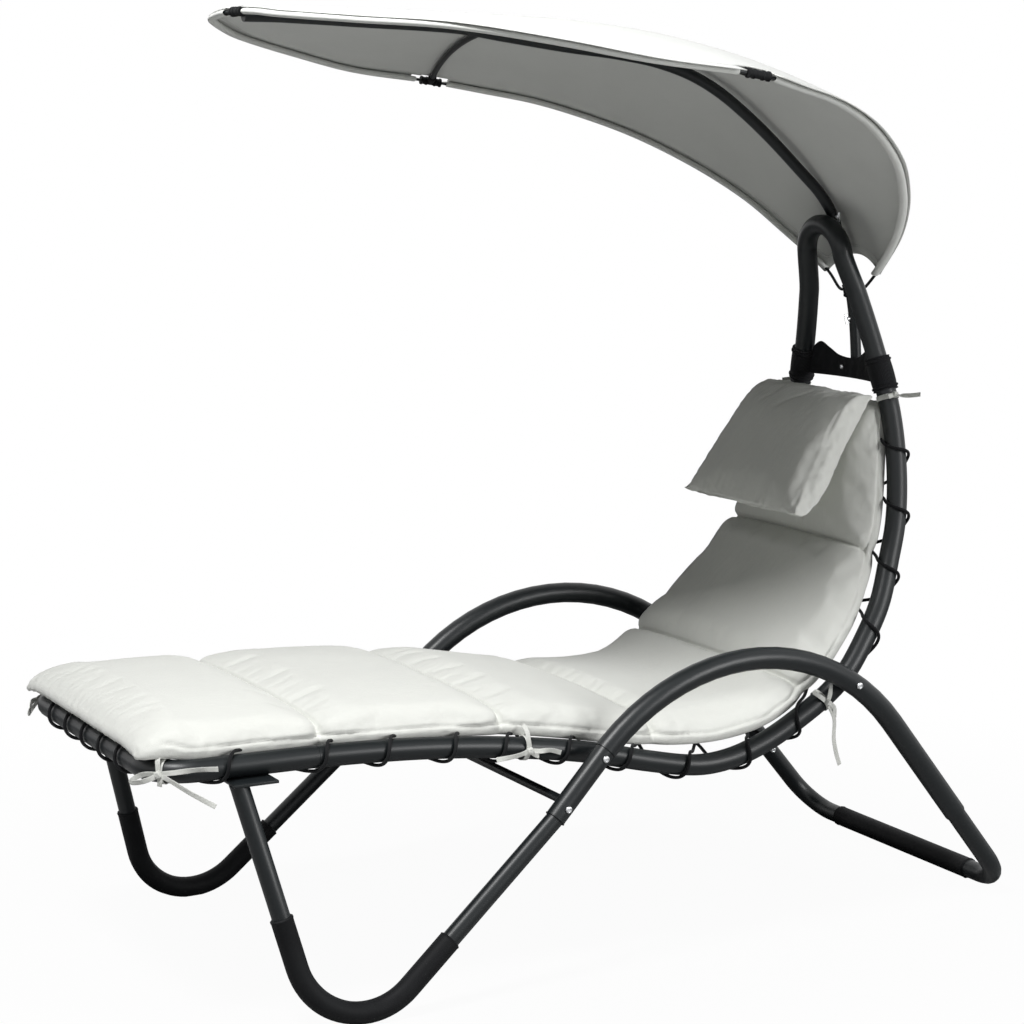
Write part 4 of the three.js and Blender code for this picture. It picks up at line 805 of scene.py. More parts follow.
def make_seat_frame():
    gap = JOINT_GAP / rail.length
    corner, joint = rail.at(0), rail.at(foot_joint)
    corners = [joint, corner, *on_side([corner, joint], 1)]
    frame_tube("foot_tube", rounded(corners, FOOT_CORNER_BEND), RAIL_RADIUS)
    for name, side in SIDES:
        line = on_side(rail.stretch(foot_joint + gap, hoop_joint - gap), side)
        frame_tube(f"seat_rail_{name}", line, RAIL_RADIUS)
    shoulder, top = place(HOOP_SHOULDER), place(HOOP_TOP)
    high = top[2] - HOOP_TOP_RADIUS
    arc = []
    for angle in np.radians(np.arange(0, 91, 15)):
        share = math.sin(angle)
        x = shoulder[0] + (top[0] - shoulder[0]) * share
        arc.append(np.array([x, -HOOP_TOP_RADIUS * math.cos(angle), high + HOOP_TOP_RADIUS * share]))
    leg = rail.stretch(hoop_joint, 1)[:-1]
    line = [*leg[:-6], *smooth([*leg[-6::2], *arc], 6)]
    frame_tube("back_hoop", np.array([*line, *on_side(line[:-1], 1)[::-1]]), RAIL_RADIUS)


COUPLING_ENDS = (0, 0.006, 0.010, 0.990, 0.996, 1)
COUPLING_SWELL = (1.06, 1.06, 1.0, 1.0, 1.0, 0.96)
LEG_STUB = 0.012
PLATE_EDGE = 0.0012


def make_legs_and_arms():
    stub = leg_route[0] + unit(leg_route[0] - leg_route[1]) * LEG_STUB
    inserted = [stub, *leg_route, leg_end + coupling_way * LEG_INSERT]
    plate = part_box("leg_bracket_left")[0].z - JOINT_GAP
    level = leg_end + coupling_way * BRACE_SHARE * coupling_length
    reach = abs(level[1]) - COUPLING_RADIUS
    coupling = [leg_end + (arm_start - leg_end) * share for share in COUPLING_ENDS]
    for name, side in SIDES:
        leg = frame_tube(f"front_leg_{name}", on_side(inserted, side), LEG_RADIUS)
        for point in leg.data.vertices:
            if point.co.x < leg_corners[0][0] + LEG_RADIUS * 2:
                point.co.z = min(point.co.z, plate)
        sizes = np.array(COUPLING_SWELL) * COUPLING_RADIUS
        frame_tube(f"coupling_{name}", on_side(coupling, side), sizes)
        frame_tube(f"arm_{name}", on_side(arm_route, side), ARM_RADIUS)
        refined(f"leg_bracket_{name}", PLATE_EDGE, "coat")
    brace = [np.array([level[0], y, level[2]]) for y in (-reach, reach)]
    frame_tube("cross_brace", brace, BRACE_RADIUS)


def make_ground_tube():
    start = arm_end + unit(ground_corner - arm_end) * JOINT_GAP
    corners = [start, ground_corner, *on_side([ground_corner, start], 1)]
    frame_tube("rear_ground_tube", rounded(corners, REAR_CORNER_BEND), GROUND_TUBE_RADIUS)


class LOUNGER_OT_frame(bpy.types.Operator):
    """Makes the round tubes of the seat, the hoop, the legs and the arms"""

    bl_idname = "lounger.frame"
    bl_label = "Frame tubes"

    def execute(self, context):
        make_seat_frame()
        make_legs_and_arms()
        make_ground_tube()
        return {"FINISHED"}


# Plastic sleeves
SLEEVE_LIP = 0.004
SLEEVE_LIP_SWELL = 0.0008
GROUND_SLEEVE_GAP = 0.0022


def sleeve(line, inner, node):
    """A plastic tube with a rolled lip at each end."""
    route = Route(line)
    lip = SLEEVE_LIP / route.length
    ends = (0, lip / 2, lip, lip * 1.5)
    shares = np.array(sorted({*ends, *(1 - end for end in ends), *(route.places / route.length)}))
    near_end = np.minimum(shares, 1 - shares) <= lip
    outer = np.where(near_end, inner + SLEEVE_WALL + SLEEVE_LIP_SWELL, inner + SLEEVE_WALL)
    outer[[0, -1]] = inner + SLEEVE_WALL * 0.4
    return dress(tube(route.at(shares), outer), "plastic", node)


def flatten_foot(obj):
    """Cuts a piece flat where it would pass through the ground."""
    for point in obj.data.vertices:
        point.co.z = max(point.co.z, 0.0)


class LOUNGER_OT_sleeves(bpy.types.Operator):
    """Makes the foot sleeves and the sleeve of the ground tube"""

    bl_idname = "lounger.sleeves"
    bl_label = "Foot sleeves"

    def execute(self, context):
        bend = leg_route[1:-1]
        front = bend[0] + unit(leg_route[0] - bend[0]) * SLEEVE_REACHES[0]
        rear = bend[-1] + unit(leg_route[-1] - bend[-1]) * SLEEVE_REACHES[1]
        for name, side in SIDES:
            line = on_side([front, *bend, rear], side)
            flatten_foot(sleeve(line, LEG_RADIUS + JOINT_GAP, f"foot_sleeve_{name}"))
        half = GROUND_SLEEVE_LENGTH / 2
        line = [np.array([ground_corner[0], y, ground_corner[2]]) for y in np.linspace(-half, half, 9)]
        flatten_foot(sleeve(line, GROUND_TUBE_RADIUS - SLEEVE_WALL + GROUND_SLEEVE_GAP, "ground_sleeve"))
        return {"FINISHED"}


# Fasteners
BOLT_HEAD_RADIUS = 0.0065
BOLT_HEAD_HEIGHT = 0.004
SCREW_EDGE = 0.0007


def bolt_head():
    """A domed head with a round socket, standing on the origin."""
    deselect()
    bpy.ops.mesh.primitive_cylinder_add(
        vertices=28, radius=BOLT_HEAD_RADIUS, depth=BOLT_HEAD_HEIGHT, location=(0, 0, BOLT_HEAD_HEIGHT / 2)
    )
    obj = bpy.context.object
    bpy.ops.object.transform_apply(location=True)

    def top(face):
        return face.normal.z > 0.9 and face.center.z > BOLT_HEAD_HEIGHT * 0.9

    in_edit_mode(obj, top, lambda: bpy.ops.mesh.bevel(offset=BOLT_HEAD_HEIGHT * 0.75, segments=5))
    sink = {"value": (0, 0, -BOLT_HEAD_HEIGHT * 0.45)}
    in_edit_mode(
        obj, top,
        lambda: bpy.ops.mesh.inset(thickness=BOLT_HEAD_RADIUS * 0.12),
        lambda: bpy.ops.mesh.extrude_region_move(TRANSFORM_OT_translate=sink),
    )
    return obj


def turned_to(direction, origin):
    turn = Vector(direction).to_track_quat("Z", "Y").to_matrix().to_4x4()
    return Matrix.Translation(Vector(origin)) @ turn


def bolt_seats():
    """The name, the seat and the facing of each bolt on the left side."""
    out = np.array([0, -1, 0])
    yield "arm_bolt_#", arm_crossing() + out * ARM_RADIUS, out
    flat = unit(out - coupling_way * (out @ coupling_way))
    for number, share in enumerate(COUPLING_BOLTS, 1):
        seat = leg_end + coupling_way * share * coupling_length
        yield f"coupling_bolt_#_{number}", seat + flat * COUPLING_RADIUS, flat
    low, high = (np.array(corner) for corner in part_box("leg_bracket_bolt_left"))
    seat = np.array([*(low + high)[:2] / 2, low[2] + BOLT_HEAD_HEIGHT])
    yield "leg_bracket_bolt_#", seat, np.array([0, 0, -1])
    low, high = (np.array(corner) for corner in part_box("rear_joint_bolt_left"))
    middle = (low + high) / 2
    seat = np.array([middle[0], high[1] - BOLT_HEAD_HEIGHT, middle[2]])
    yield "rear_joint_bolt_#", seat, np.array([0, 1, 0])


class LOUNGER_OT_fasteners(bpy.types.Operator):
    """Makes the bolt heads and the thumb screws"""

    bl_idname = "lounger.fasteners"
    bl_label = "Fasteners"

    def execute(self, context):
        head = bolt_head()
        for kind, seat, facing in bolt_seats():
            for name, side in SIDES:
                data = head.data.copy()
                data.transform(turned_to(on_side(facing, side), on_side(seat, side)))
                dress(shade(new_object("bolt", data), 40), "zinc", kind.replace("#", name))
        bpy.data.objects.remove(head)
        refined("pole_thumb_screw", SCREW_EDGE, "zinc", "pole_screw")
        refined("hoop_thumb_screw", SCREW_EDGE, "zinc", "hoop_screw")
        return {"FINISHED"}


# Canopy frame
CONNECTOR_HALF = 0.023
CONNECTOR_GAP = 0.0012
CONNECTOR_SHARES = (-1, -0.97, -0.85, -0.82, -0.5, -0.47, -0.35, -0.32)
CONNECTOR_RADII = (6.6, 9, 9, 7.6, 7.6, 8.8, 8.8, 7.4)
BRANCH_SHARES = (0, 0.5, 0.55, 0.9, 1)
BRANCH_RADII = (7.4, 7.6, 8.6, 8.6, 7.2)
NOSE_REACH = 0.008
COLLAR_HALF = 0.013
COLLAR_GAP = 0.0012


def hem_point(station, across=-HEM_SHARE):
    """Where a rod runs below the cloth."""
    return under_canopy(station, across, ROD_RADIUS * 2)


def connector_places():
    """The centre, the way along and the way out of the near rib end and of the nose."""
    along = unit(hem_point(RIB_STATION + 1) - hem_point(RIB_STATION - 1))
    down = -canopy_normal(RIB_STATION, -HEM_SHARE)
    outward = unit(np.cross(down, along))
    nose = hem_point(0, 0) + np.array([NOSE_REACH, 0, 0])
    return hem_point(RIB_STATION), along, outward, nose


def connector(centre, along, node, branch=None):
    """A ribbed plastic socket for two rods, with a branch for the rib. Radii are in millimetres."""
    shares = (*CONNECTOR_SHARES, *(-share for share in CONNECTOR_SHARES[::-1]))
    line = [centre + along * CONNECTOR_HALF * share for share in shares]
    parts = [tube(line, np.array(CONNECTOR_RADII + CONNECTOR_RADII[::-1]) / 1000)]
    if branch is not None:
        line = [centre + (branch - centre) * share for share in BRANCH_SHARES]
        parts.append(tube(line, np.array(BRANCH_RADII) / 1000))
    return dress(join(parts), "plastic", node)


def rod_routes():
    """The near rods in the hem: from the nose to the rib end, and on by the tail to the collar."""
    rib_end, along, _, nose = connector_places()
    clear = CONNECTOR_HALF + CONNECTOR_GAP
    front = [
        nose + np.array([0, -clear + JOINT_GAP, 0]),
        *[hem_point(0, -across) for across in (0.3, 0.6, 0.9)],
        *[hem_point(station) for station in range(1, RIB_STATION)],
        rib_end - along * clear,
    ]
    rear = [rib_end + along * clear]
    rear += [hem_point(station) for station in range(RIB_STATION + 1, len(CANOPY_STATIONS))]
    tail = len(rear)
    end = pole.at(collar_share)
    end[1] = -(POLE_RADIUS / math.cos(math.pi / 10) + 0.004 + JOINT_GAP * 5)
    rear += [end * np.array([1, 2, 1]), end]
    return smooth(front, ROD_STEPS), smooth(rear, ROD_STEPS), tail


class LOUNGER_OT_canopy_frame(bpy.types.Operator):
    """Makes the pole, the spine, the rib, the rods and their connectors"""

    bl_idname = "lounger.canopy_frame"
    bl_label = "Canopy frame"

    def execute(self, context):
        gap = 2 * JOINT_GAP / pole.length
        for node, low, high in (
            ("canopy_pole", 0, pole_top),
            ("canopy_spine_rear", pole_top + gap, spine_joint),
            ("canopy_spine_front", spine_joint + gap, 1),
        ):
            frame_tube(node, pole.stretch(low, high), POLE_RADIUS)
        acrosses = np.linspace(-RIB_END_SHARE, RIB_END_SHARE, 49)
        rib = np.array([under_canopy(RIB_STATION, across, RIB_RADIUS * 1.3) for across in acrosses])
        frame_tube("canopy_rib", rib, RIB_RADIUS)
        centre, along, _, nose = connector_places()
        for name, side in SIDES:
            branch = rib[1] if side < 0 else rib[-2]
            connector(on_side(centre, side), on_side(along, side), f"rib_end_{name}", branch)
        connector(nose, np.array([0, 1, 0]), "nose_connector")
        front, rear, _ = rod_routes()
        for name, side in SIDES:
            frame_tube(f"edge_rod_front_{name}", on_side(front, side), ROD_RADIUS)
            frame_tube(f"edge_rod_rear_{name}", on_side(rear, side), ROD_RADIUS)
        refined("rib_saddle", PLATE_EDGE, "plastic")
        reach = COLLAR_HALF / pole.length
        line = pole.stretch(collar_share - reach, collar_share + reach, 0.002)
        sleeve(line, POLE_RADIUS + COLLAR_GAP, "tail_rod_collar")
        return {"FINISHED"}


# Canopy cloth
NOTCH_STATIONS = 0.30
NOTCH_HALF = 0.034
NOTCH_REACH = (-0.016, 0.04)
CLOTH_HOLLOW = 0.004
BORDER_SPACING = 0.003
CHUNK = 2000


def canopy_rows():
    """The stations and the shares across, closer near the connectors and the hem."""
    last = len(CANOPY_STATIONS) - 1
    beside_rib = (RIB_STATION - NOTCH_STATIONS, RIB_STATION + NOTCH_STATIONS)
    stations = sorted({*np.linspace(0, last, 116), *beside_rib})
    acrosses = sorted({*np.linspace(-1, 1, 97), -0.95, 0.95, -0.925, 0.925, -0.975, 0.975})
    return np.array(stations), np.array(acrosses)


def edge_distance(points, border):
    """How far each point lies from a border, and where along the border that is."""
    route = Route(border)
    middles = (border[1:] + border[:-1]) / 2
    away, run = np.empty(len(points)), np.empty(len(points))
    for start in range(0, len(points), CHUNK):
        part = points[start:start + CHUNK]
        off = np.linalg.norm(part[:, None] - middles[None], axis=2)
        best = off.argmin(axis=1)
        away[start:start + CHUNK] = off[np.arange(len(part)), best]
        run[start:start + CHUNK] = route.places[best]
    return away, run


def cloth_point(station, across):
    """A point of the cloth, which sinks a little between the rods."""
    tension = math.sin(math.pi * station / RIB_STATION) if station < RIB_STATION else 0
    hollow = CLOTH_HOLLOW * tension * (1 - across**2) * abs(math.sin(math.pi * across))
    return canopy_surface(station, across) - canopy_normal(station, across) * hollow


def store_hem(obj, rows):
    """Stores each point's distance from the cloth's edge and its place along it, for the stitches."""
    left, right = [row[0] for row in rows[::-1]], [row[-1] for row in rows]
    border = Route([*rows[0], *right, *rows[-1][::-1], *left]).stretch(0, 1, BORDER_SPACING)
    for name, values in zip(("hem", "run"), edge_distance(points_of(obj), border)):
        attribute = obj.data.attributes.new(name, "FLOAT", "POINT")
        attribute.data.foreach_set("value", values.astype(np.float32))


def give_underside_painted_shade(obj, limit):
    """Gives the darker underside finish to the faces that look down: painted shade for the shade under the
    canopy.
    """
    for face in obj.data.polygons:
        face.material_index = 1 if face.normal.z < limit else 0


def make_canopy_sheet():
    stations, acrosses = canopy_rows()
    rows = [[cloth_point(station, across) for across in acrosses] for station in stations]
    obj = sheet("canopy_sheet", rows)
    store_hem(obj, rows)
    centre, along, outward, nose = connector_places()
    boxes = [(on_side(centre, side), on_side(along, side), on_side(outward, side)) for _, side in SIDES]
    boxes.append((nose, np.array([0, 1.0, 0]), np.array([-1.0, 0, 0])))

    def notched(face):
        for middle, way, out in boxes:
            off = np.array(face.center) - middle
            if abs(off @ way) < NOTCH_HALF and NOTCH_REACH[0] < off @ out < NOTCH_REACH[1]:
                return True
        return False

    in_edit_mode(obj, notched, lambda: bpy.ops.mesh.delete(type="FACE"))
    # Painted shade: the second finish, on the faces that look down, is the darker underside colour.
    obj.data.materials.append(finishes["canopy"])
    obj.data.materials.append(finishes["lining"])
    solidify(obj, CANOPY_CLOTH * 0.7, material_offset=0)
    give_underside_painted_shade(obj, 0)
    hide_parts("canopy_cloth")
    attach(obj, "frame")
    return obj


POCKET_SIDES = 14
POCKET_HALF = 0.0085
POCKET_RISE = 0.0055
POCKET_INSET = 0.002


def hem_pocket(name, line, ups, outs, side):
    """The folded edge of the cloth round a rod: an oval pocket."""
    rows = []
    for point, up, out in zip(line, ups, outs):
        ring = []
        for k in range(POCKET_SIDES + 1):
            angle = 2 * math.pi * k / POCKET_SIDES
            level, rise = POCKET_HALF * math.cos(angle), POCKET_RISE * math.sin(angle)
            ring.append(point + out * level + up * rise - out * POCKET_INSET)
        rows.append(on_side(ring, side))
    pocket = dress(sheet(name, rows, close_rows=True), "canopy")
    # Painted shade: the pocket's faces that look down get the darker underside finish.
    pocket.data.materials.append(finishes["lining"])
    give_underside_painted_shade(pocket, 0.5)
    return pocket


def pocket_ways(points, ways):
    """The way up and the way out of the pocket at each point of a rod."""
    middle = canopy_surface(RIB_STATION, 0)
    ups, outs = [], []
    for point, way in zip(points, ways):
        out = unit((point - middle) * np.array([1, 1, 0.2]))
        up = unit(np.cross(way, out))
        up = up if up[2] > 0 else -up
        outs.append(unit(out - up * (out @ up) - way * (out @ way)))
        ups.append(up)
    return ups, outs


class LOUNGER_OT_canopy_cloth(bpy.types.Operator):
    """Makes the canopy's cloth with its hem"""

    bl_idname = "lounger.canopy_cloth"
    bl_label = "Canopy cloth"

    def execute(self, context):
        cloth = make_canopy_sheet()
        front, rear, tail = rod_routes()
        rear = rear[: (tail - 1) * ROD_STEPS + 1]
        for where, line, low, high in (("front", front, 0.02, 0.985), ("rear", rear, 0.012, 1)):
            route = Route(line)
            shares = np.linspace(low, high, 90)
            points = route.at(shares)
            ups, outs = pocket_ways(points, route.along(shares))
            for name, side in SIDES:
                hem_pocket(f"canopy_hem_{where}_{name}", points, ups, outs, side)
        return {"FINISHED"}


# Sling and lacing
LACING_SINK = 0.012
TURN_SWAY = 0.13
RAIL_SLACK = 0.0014
FOOT_SLACK = 0.0012
CORD_SIDES = 12


def sling_half(point):
    return rail_half(point[2]) - RAIL_RADIUS - SLING_EDGE_GAP


def bed_above(point, along, up):
    """How far the bed lies above a point of the rail."""
    off = (bed.points - point) * np.array([1, 0, 1])
    return float(off[np.abs(off @ along).argmin()] @ up)


def lacing_route(frame_at, loops, slack):
    """One turn after another round a tube, each with a long reach inward to the sling."""
    points = []
    wrap = RAIL_RADIUS + CORD_RADIUS + slack
    reach = RAIL_RADIUS + SLING_EDGE_GAP - CORD_RADIUS - slack
    for k in range(loops * CORD_LOOP_STEPS + 1):
        turn = k / CORD_LOOP_STEPS
        angle = 2 * math.pi * turn
        inner = max(0.0, math.cos(angle)) ** 5
        share = min(max((turn + TURN_SWAY * math.sin(angle)) / loops, 0), 1)
        centre, inward, up, rise = frame_at(share)
        size = wrap + (reach - wrap) * inner
        points.append(centre + inward * size * math.cos(angle) + up * (rise * inner - size * math.sin(angle)))
    return smooth(points, 4)


def rail_frame(share):
    """The centre, the ways inward and up, and the bed's height at a share of the rail's turns."""
    loops = len(LACING_TURNS)
    turn = share * loops - 0.5
    first = int(min(max(math.floor(turn), 0), loops - 2))
    spot = LACING_TURNS[first] + (LACING_TURNS[first + 1] - LACING_TURNS[first]) * (turn - first)
    spot = max(0.03, spot)
    centre, along = rail.at(spot), rail.along(spot)
    inward = unit(np.array([0, 1, 0]) - along * along[1])
    up = np.cross(along, inward)
    return centre, inward, up, bed_above(centre, along, up) - LACING_SINK


def foot_frame(share):
    first, last = FOOT_LACING
    centre = rail.at(0) * np.array([1, 1 - 2 * (first + (last - first) * share), 1])
    rise = bed.at(sling_start)[2] - centre[2] - LACING_SINK
    return centre, np.array([1, 0, 0]), np.array([0, 0, 1]), rise


class LOUNGER_OT_lacing(bpy.types.Operator):
    """Makes the cords that lace the sling to the rails and the foot tube"""

    bl_idname = "lounger.lacing"
    bl_label = "Lacing"

    def execute(self, context):
        line = lacing_route(rail_frame, len(LACING_TURNS), RAIL_SLACK)
        for name, side in SIDES:
            dress(tube(on_side(line, side), CORD_RADIUS, CORD_SIDES), "cord", f"lacing_{name}")
        line = lacing_route(foot_frame, FOOT_LOOPS, FOOT_SLACK)
        dress(tube(line, CORD_RADIUS, CORD_SIDES), "cord", "lacing_foot")
        return {"FINISHED"}


# Points of a tab: outward from the sling's edge and up
TAB_PATH = (
    (-0.030, 0.0026), (-0.006, 0.0028), (0.006, 0.005), (0.0125, 0.0),
    (0.006, -0.005), (-0.006, -0.0028), (-0.030, -0.0026),
)
TAB_HALF = 0.010
TAB_THICKNESS = 0.0014
HEM_INSETS = (0.026, 0.013, 0.0)
HEM_DROP = 0.0014
HEM_THICKNESS = 0.0012
TAB_LEAD = 0.012
SLING_THICKNESS = 0.0016
SLING_WIDEST_SHARE = 0.3


def sling_tab(share, side):
    """A folded webbing loop that holds the cord at the sling's edge."""
    point = bed.at(share)
    normal, way = bed_normal(share), bed.along(share)
    half = sling_half(point)
    line = smooth([
        np.array([point[0], side * (half + out), point[2]]) + normal * up for out, up in TAB_PATH
    ], 4)
    rows = [[spot + way * along for along in (-TAB_HALF, 0, TAB_HALF)] for spot in line]
    return solidify(sheet("tab", rows), TAB_THICKNESS)


class LOUNGER_OT_sling(bpy.types.Operator):
    """Makes the dark sling under the cushion, with its folded edges and tabs"""

    bl_idname = "lounger.sling"
    bl_label = "Sling"

    def execute(self, context):
        rows, hems = [], {-1: [], 1: []}
        for share in np.linspace(sling_start, 1, 150):
            point, normal = bed.at(share), bed_normal(share)
            half = sling_half(point)
            rows.append([point + np.array([0, half * across, 0]) for across in np.linspace(-1, 1, 25)])
            for side, hem in hems.items():
                edge = [np.array([0, side * (half - inset), 0]) for inset in HEM_INSETS]
                hem.append([point + out - normal * HEM_DROP for out in edge])
        cloth = dress(solidify(sheet("sling", rows), SLING_THICKNESS), "mesh", "sling")
        made = [solidify(sheet("hem", hem), HEM_THICKNESS) for hem in hems.values()]
        for turn in LACING_TURNS[:-1]:
            off = np.abs(bed.points - rail.at(turn + TAB_LEAD) * np.array([1, 0, 1]))
            share = bed.places[(off[:, 0] + off[:, 2]).argmin()] / bed.length
            made += [sling_tab(share, side) for side in (-1, 1)]
        tabs = dress(join(made), "webbing")
        tabs.name = tabs.data.name = "sling_edging"
        width = 2 * sling_half(bed.at(SLING_WIDEST_SHARE))
        length = bed.length * (1 - sling_start)
        SLING_FILL * width * length
        return {"FINISHED"}


# Head band
BAND_HEIGHT = 0.040
BAND_BULGE = 0.017
BAND_HUMP = 0.028
BAND_SHARES = (  # across and top
    (-1, 0.6), (-0.85, 1), (-0.6, 0.6), (-0.3, 0.12), (0, 0), (0.3, 0.12), (0.6, 0.6), (0.85, 1), (1, 0.6),
)
BAND_OFF_LEG = 0.002
BAND_END_INSET = 0.022
BAND_THICKNESS = 0.0035
BAND_CRUMPLE = 0.0012
CUFF_RADIUS = 0.0238
CUFF_HALF = 0.033
CUFF_SWELL = 0.0012
CUFF_LIP = 0.0015
CUFF_RING = 0.8
CUFF_RING_RADIUS = 0.0242
CUFF_CORD_RADIUS = 0.0026
RIVET_PLACE = 0.020
RIVET_SCALE = 0.7


def cuff(name, side):
    """Webbing gathered round a hoop leg, with a cord ring near each end."""
    share = rail.share(2, BAND_SHARE * HOOP_HEIGHT, 0.5, 1)
    reach = CUFF_HALF / rail.length
    shares = np.linspace(share - reach, share + reach, 23)
    t = np.linspace(-1, 1, 23)
    lip = np.where(np.abs(t) > 0.93, CUFF_LIP, 0)
    waist = CUFF_SWELL * np.exp(-((np.abs(t) - CUFF_RING) / 0.08) ** 2)
    radii = CUFF_RADIUS + CUFF_SWELL * (1 - t**2) + lip - waist
    parts = [tube(on_side(rail.at(shares), side), radii, 32)]
    way = on_side(rail.along(share), side)
    for ring in (-CUFF_RING, CUFF_RING):
        deselect()
        bpy.ops.mesh.primitive_torus_add(
            major_radius=CUFF_RING_RADIUS, minor_radius=CUFF_CORD_RADIUS, major_segments=40, minor_segments=10
        )
        torus = bpy.context.object
        torus.data.transform(turned_to(way, on_side(rail.at(share + ring * reach), side)))
        torus.data.update()
        parts.append(shade(torus))
    return dress(join(parts), "webbing", f"band_cuff_{name}")


class LOUNGER_OT_head_band(bpy.types.Operator):
    """Makes the webbing band between the hoop legs, with its cuffs and its rivet"""

    bl_idname = "lounger.head_band"
    bl_label = "Head band"

    def execute(self, context):
        for name, side in SIDES:
            cuff(name, side)
        level = BAND_SHARE * HOOP_HEIGHT
        leg = rail.at(rail.share(2, level, 0.5, 1))
        rows = []
        for across, _, top in smooth([(across, 0, top) for across, top in BAND_SHARES], 6):
            x = leg[0] + BAND_OFF_LEG + BAND_BULGE * (1 - across * across)
            low, high = level - BAND_HEIGHT / 2, level + BAND_HEIGHT / 2 + top * BAND_HUMP
            column = []
            for share in np.linspace(0, 1, 15):
                z = low + (high - low) * share
                crumple = BAND_CRUMPLE * math.sin(across * 23 + share * 3) * math.sin(share * math.pi)
                column.append(np.array([x + crumple, across * (rail_half(z) - BAND_END_INSET), z]))
            rows.append(column)
        band = solidify(sheet("head_band", rows), BAND_THICKNESS)
        sharp = math.radians(50)
        apply_modifier(band, "BEVEL", width=0.0009, segments=2, limit_method="ANGLE", angle_limit=sharp)
        dress(band, "webbing", "head_band")
        rivet = bolt_head()
        x = leg[0] + BAND_BULGE * (1 - (RIVET_PLACE / rail_half(level)) ** 2) - 0.001
        rivet.data.transform(Matrix.Diagonal((RIVET_SCALE, RIVET_SCALE, RIVET_SCALE, 1)))
        rivet.data.transform(turned_to((-1, 0, 0), (x, RIVET_PLACE, level)))
        rivet.name = rivet.data.name = "band_rivet"
        dress(rivet, "zinc")
        return {"FINISHED"}


# Cushion and pillow
CLOTH = {
    "quality": 6, "mass": 0.15, "tension_stiffness": 25, "compression_stiffness": 25,
    "shear_stiffness": 12, "bending_stiffness": 0.6, "use_pressure": True, "shrink_min": -0.010,
}
SIMULATED_FRAMES = 20


def resampled(outline, count):
    """A closed outline as evenly spaced points, the first repeated at the end."""
    route = Route([*outline, outline[0]])
    return route.at(np.linspace(0, 1, count + 1))


def vertex_values(obj, what):
    values = np.zeros(len(obj.data.vertices) * 3)
    obj.data.vertices.foreach_get(what, values)
    return values.reshape(-1, 3)


def points_of(obj):
    return vertex_values(obj, "co")


def place_points(obj, points):
    obj.data.vertices.foreach_set("co", points.reshape(-1))
    obj.data.update()


def push(obj, amounts):
    """Moves each point along its normal."""
    place_points(obj, points_of(obj) + vertex_values(obj, "normal") * amounts[:, None])


def inflate(obj, pinned, pressure, cap):
    """Fills a closed cover like a pad: cloth under pressure, its seams held, no point moved past the cap."""
    rest = points_of(obj)
    group = obj.vertex_groups.new(name="sewn")
    group.add([int(i) for i in np.flatnonzero(pinned)], 1.0, "REPLACE")
    activate(obj)
    bpy.ops.object.modifier_add(type="CLOTH")
    cloth = obj.modifiers[-1]
    for name, value in CLOTH.items():
        setattr(cloth.settings, name, value)
    cloth.settings.uniform_pressure_force = pressure
    cloth.settings.vertex_group_mass = "sewn"
    cloth.settings.effector_weights.gravity = 0
    cloth.collision_settings.use_collision = False
    scene = bpy.context.scene
    scene.frame_start, scene.frame_end = 1, SIMULATED_FRAMES
    for frame_number in range(1, SIMULATED_FRAMES + 1):
        scene.frame_set(frame_number)
    bpy.ops.object.modifier_apply(modifier=cloth.name)
    scene.frame_set(1)
    move = points_of(obj) - rest
    far = np.linalg.norm(move, axis=1, keepdims=True)
    move *= np.minimum(1, cap / np.maximum(far, 1e-9))
    obj.vertex_groups.clear()
    place_points(obj, rest + move)


def creases(points, stretch, scale, seed):
    """Smooth noise over the points, from -1 to 1, finer along an axis the more it is stretched."""
    shift = Vector((seed, seed * 2.3, seed * 5.1))
    return np.array([noise.noise(Vector(p) * scale + shift) for p in points * np.array(stretch)])


def near(distance, width):
    """A bump that is 1 at no distance and fades over a width."""
    return np.exp(-(distance / width) ** 2)


def fade(distance, reach):
    return np.exp(-distance / reach)


def bed_places(points):
    """The share of the bed's length and the height above the bed of each point."""
    shares = bed.places / bed.length
    where, height = np.empty(len(points)), np.empty(len(points))
    ways = bed.along(shares)
    ups = np.stack([-ways[:, 2], np.zeros(len(ways)), ways[:, 0]], axis=1)
    for start in range(0, len(points), CHUNK):
        part = points[start:start + CHUNK] * np.array([1, 0, 1])
        off = part[:, None] - bed.points[None]
        best = (off**2).sum(axis=2).argmin(axis=1)
        best_off = off[np.arange(len(part)), best]
        where[start:start + CHUNK] = shares[best] + (best_off * ways[best]).sum(axis=1) / bed.length
        height[start:start + CHUNK] = (best_off * ups[best]).sum(axis=1)
    return where, height


CUSHION_ROWS = 190
END_STEPS = (0, 0.0012, 0.003, 0.006, 0.010, 0.015)
END_REACH = 0.075  # how far the ends round off along the bed
SEAM_STEPS = (0, 0.0016, 0.0034, 0.006, 0.010)
SEAM_REACH = 0.024
SEAM_DIP = 0.017
END_BULGE = 0.005
FOOT_OVERHANG = 0.017  # how far the foot end reaches past the sheet
FOOT_DROP = 0.007
EDGE_SLUMP = 0.006  # how far the long edges hang down beside the sheet
CUSHION_RING = 144
CUSHION_BASE = 0.0018  # gap between the sling and the cushion
SIDE_SEAM = 0.40  # height of the seam on the side, as a share of the side band


